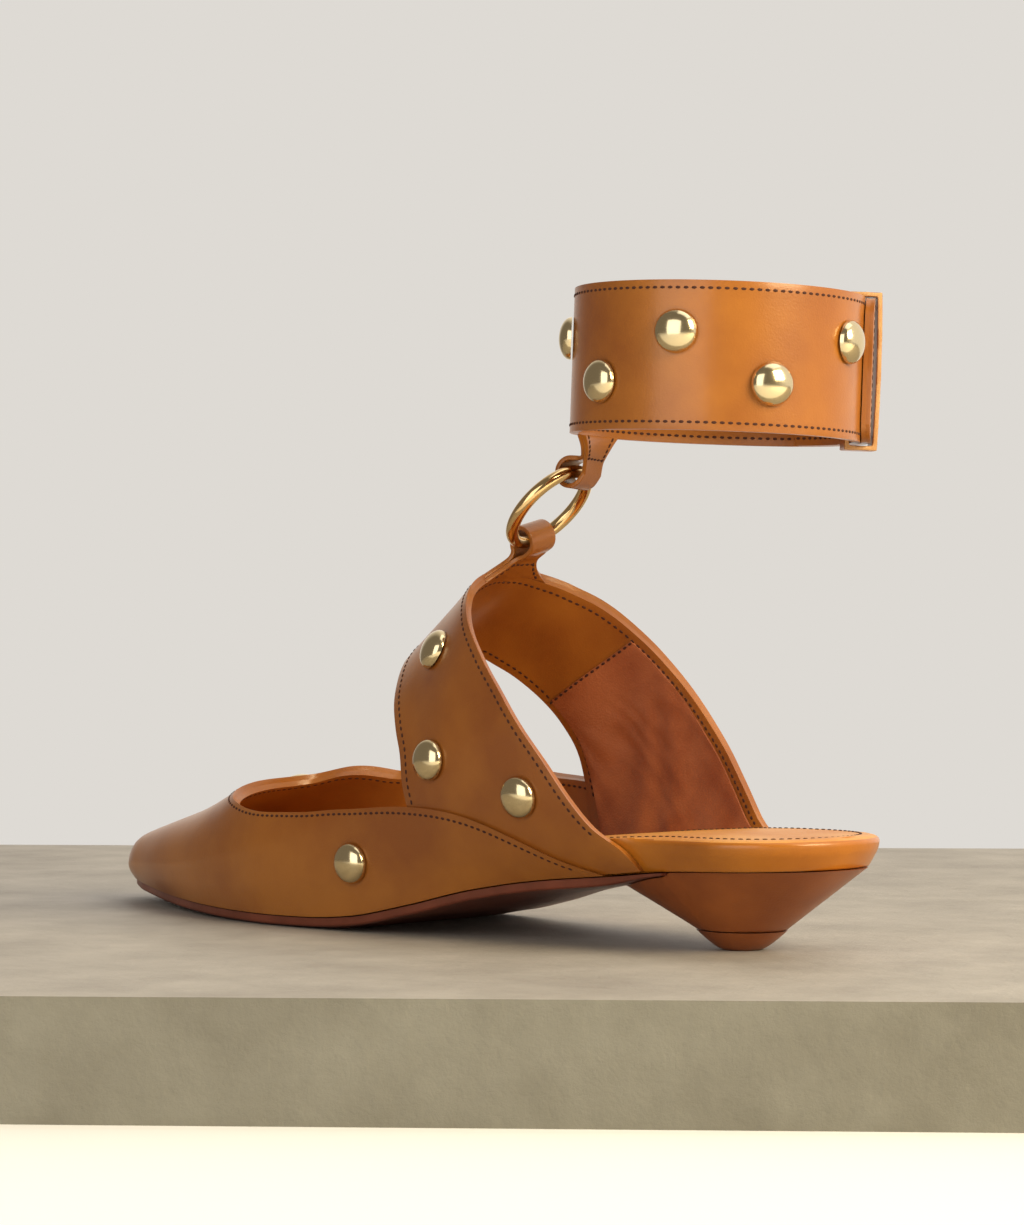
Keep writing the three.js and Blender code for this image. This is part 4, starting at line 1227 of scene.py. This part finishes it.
# Stone slab that the shoe stands on, and the white floor under it
SLAB_THICK = 0.028
SLAB_FRONT = 0.116
SLAB_BACK = -0.377
SLAB_SIDE = 1.6
FLOOR_FRONT = 4.0


def slab(name, front, back, side, top, thick, *materials):
    deselect()
    bpy.ops.mesh.primitive_cube_add(size=1)
    block = bpy.context.object
    block.name = name
    block.scale = (2 * side, front - back, thick)
    block.rotation_euler.z = math.atan2(toward.y, toward.x) - math.pi / 2
    block.location = Vector((TIP_X, TIP_Y, top - thick / 2)) + toward * (front + back) / 2
    for material in materials:
        block.data.materials.append(material)
    # Faces not turned up take the last material: on the stone slab, its sides painted darker as painted
    # shade
    for face in block.data.polygons:
        face.material_index = 0 if face.normal.z > 0.5 else len(materials) - 1


def stone(name, light, dark):
    """Stone: soft blotches, small pits and a dull face."""
    material = bpy.data.materials.new(name)
    material.use_nodes = True
    tree = material.node_tree
    shader = tree.nodes["Principled BSDF"]
    shader.inputs["Roughness"].default_value = 0.62
    where = add_node(tree, "ShaderNodeNewGeometry")
    blotches = add_node(tree, "ShaderNodeTexNoise", [(where, "Position", "Vector")],
                        in_Scale=28.0, in_Detail=8.0, in_Roughness=0.62)
    tones = add_node(tree, "ShaderNodeValToRGB", [(blotches, "Fac", "Fac")])
    tones.color_ramp.elements[0].position = 0.3
    tones.color_ramp.elements[0].color = linear(dark)
    tones.color_ramp.elements[1].position = 0.7
    tones.color_ramp.elements[1].color = linear(light)
    tree.links.new(tones.outputs["Color"], shader.inputs["Base Color"])
    pits = add_node(tree, "ShaderNodeTexNoise", [(where, "Position", "Vector")],
                    in_Scale=160.0, in_Detail=7.0, in_Roughness=0.7)
    bump = add_node(tree, "ShaderNodeBump", [(pits, "Fac", "Height")],
                    in_Strength=0.5, in_Distance=0.0012)
    tree.links.new(bump.outputs["Normal"], shader.inputs["Normal"])
    return material


# Top in the stone's own colour, paler; front and sides painted darker and greener, as painted shade on the
# faces turned from the light
slab("stone_slab", SLAB_FRONT, SLAB_BACK, SLAB_SIDE, 0, SLAB_THICK,
     stone("sawn_stone", "#aea79c", "#938c82"), stone("stone_sides_painted_shade", "#827e70", "#6c6759"))
slab("floor", FLOOR_FRONT, SLAB_BACK, SLAB_SIDE * 2, -SLAB_THICK, 0.01,
     plain("white_floor", "#f2f0ec", 0.8))


def softbox(name, direction, distance, size, power, colour="#ffffff"):
    light = bpy.data.lights.new(name, "AREA")
    light.shape = "RECTANGLE"
    light.size, light.size_y = size
    light.energy = power
    light.color = linear(colour)[:3]
    lamp = bpy.data.objects.new(name, light)
    lamp.location = Vector((0, 0.02, 0.08)) + direction.normalized() * distance
    lamp.rotation_euler = (-direction).to_track_quat("-Z", "Y").to_euler()
    bpy.context.scene.collection.objects.link(lamp)


up = Vector((0, 0, 1))
softbox("key", toward * 0.7 + right * 0.95 + up * 0.62, 1.4, (0.7, 0.7), 23, "#ffefc9")
softbox("fill", toward - right * 0.5 + up * 0.35, 1.8, (1.4, 1.4), 12)
softbox("top", up + toward * 0.1 + right * 0.3, 1.7, (1.2, 1.2), 5)
world = bpy.data.worlds.new("pale_room")
world.use_nodes = True
room = world.node_tree
facing = add_node(room, "ShaderNodeTexCoord")
bright_side = add_node(room, "ShaderNodeVectorMath", [(facing, "Generated", 0)], operation="DOT_PRODUCT")
bright_side.inputs[1].default_value = (right * 0.75 - toward * 0.66).normalized() + up * 0.25
shade = add_node(room, "ShaderNodeValToRGB", [(bright_side, "Value", "Fac")])
shade.color_ramp.elements[0].position = 0.0
shade.color_ramp.elements[0].color = linear("#79726a")
shade.color_ramp.elements[1].position = 0.6
shade.color_ramp.elements[1].color = linear("#f7f1ea")
backdrop = add_node(room, "ShaderNodeBackground")
backdrop.inputs["Color"].default_value = linear("#dedad4")
backdrop.inputs["Strength"].default_value = 1.0
seen = add_node(room, "ShaderNodeLightPath")
light_or_backdrop = add_node(room, "ShaderNodeMixShader",
                             [(seen, "Is Camera Ray", "Fac"), (room.nodes["Background"], "Background", 1),
                              (backdrop, "Background", 2)])
room.links.new(shade.outputs["Color"], room.nodes["Background"].inputs["Color"])
room.nodes["Background"].inputs["Strength"].default_value = 1.15
room.links.new(light_or_backdrop.outputs["Shader"], room.nodes["World Output"].inputs["Surface"])
bpy.context.scene.world = world
bpy.context.scene.view_settings.view_transform = "Standard"
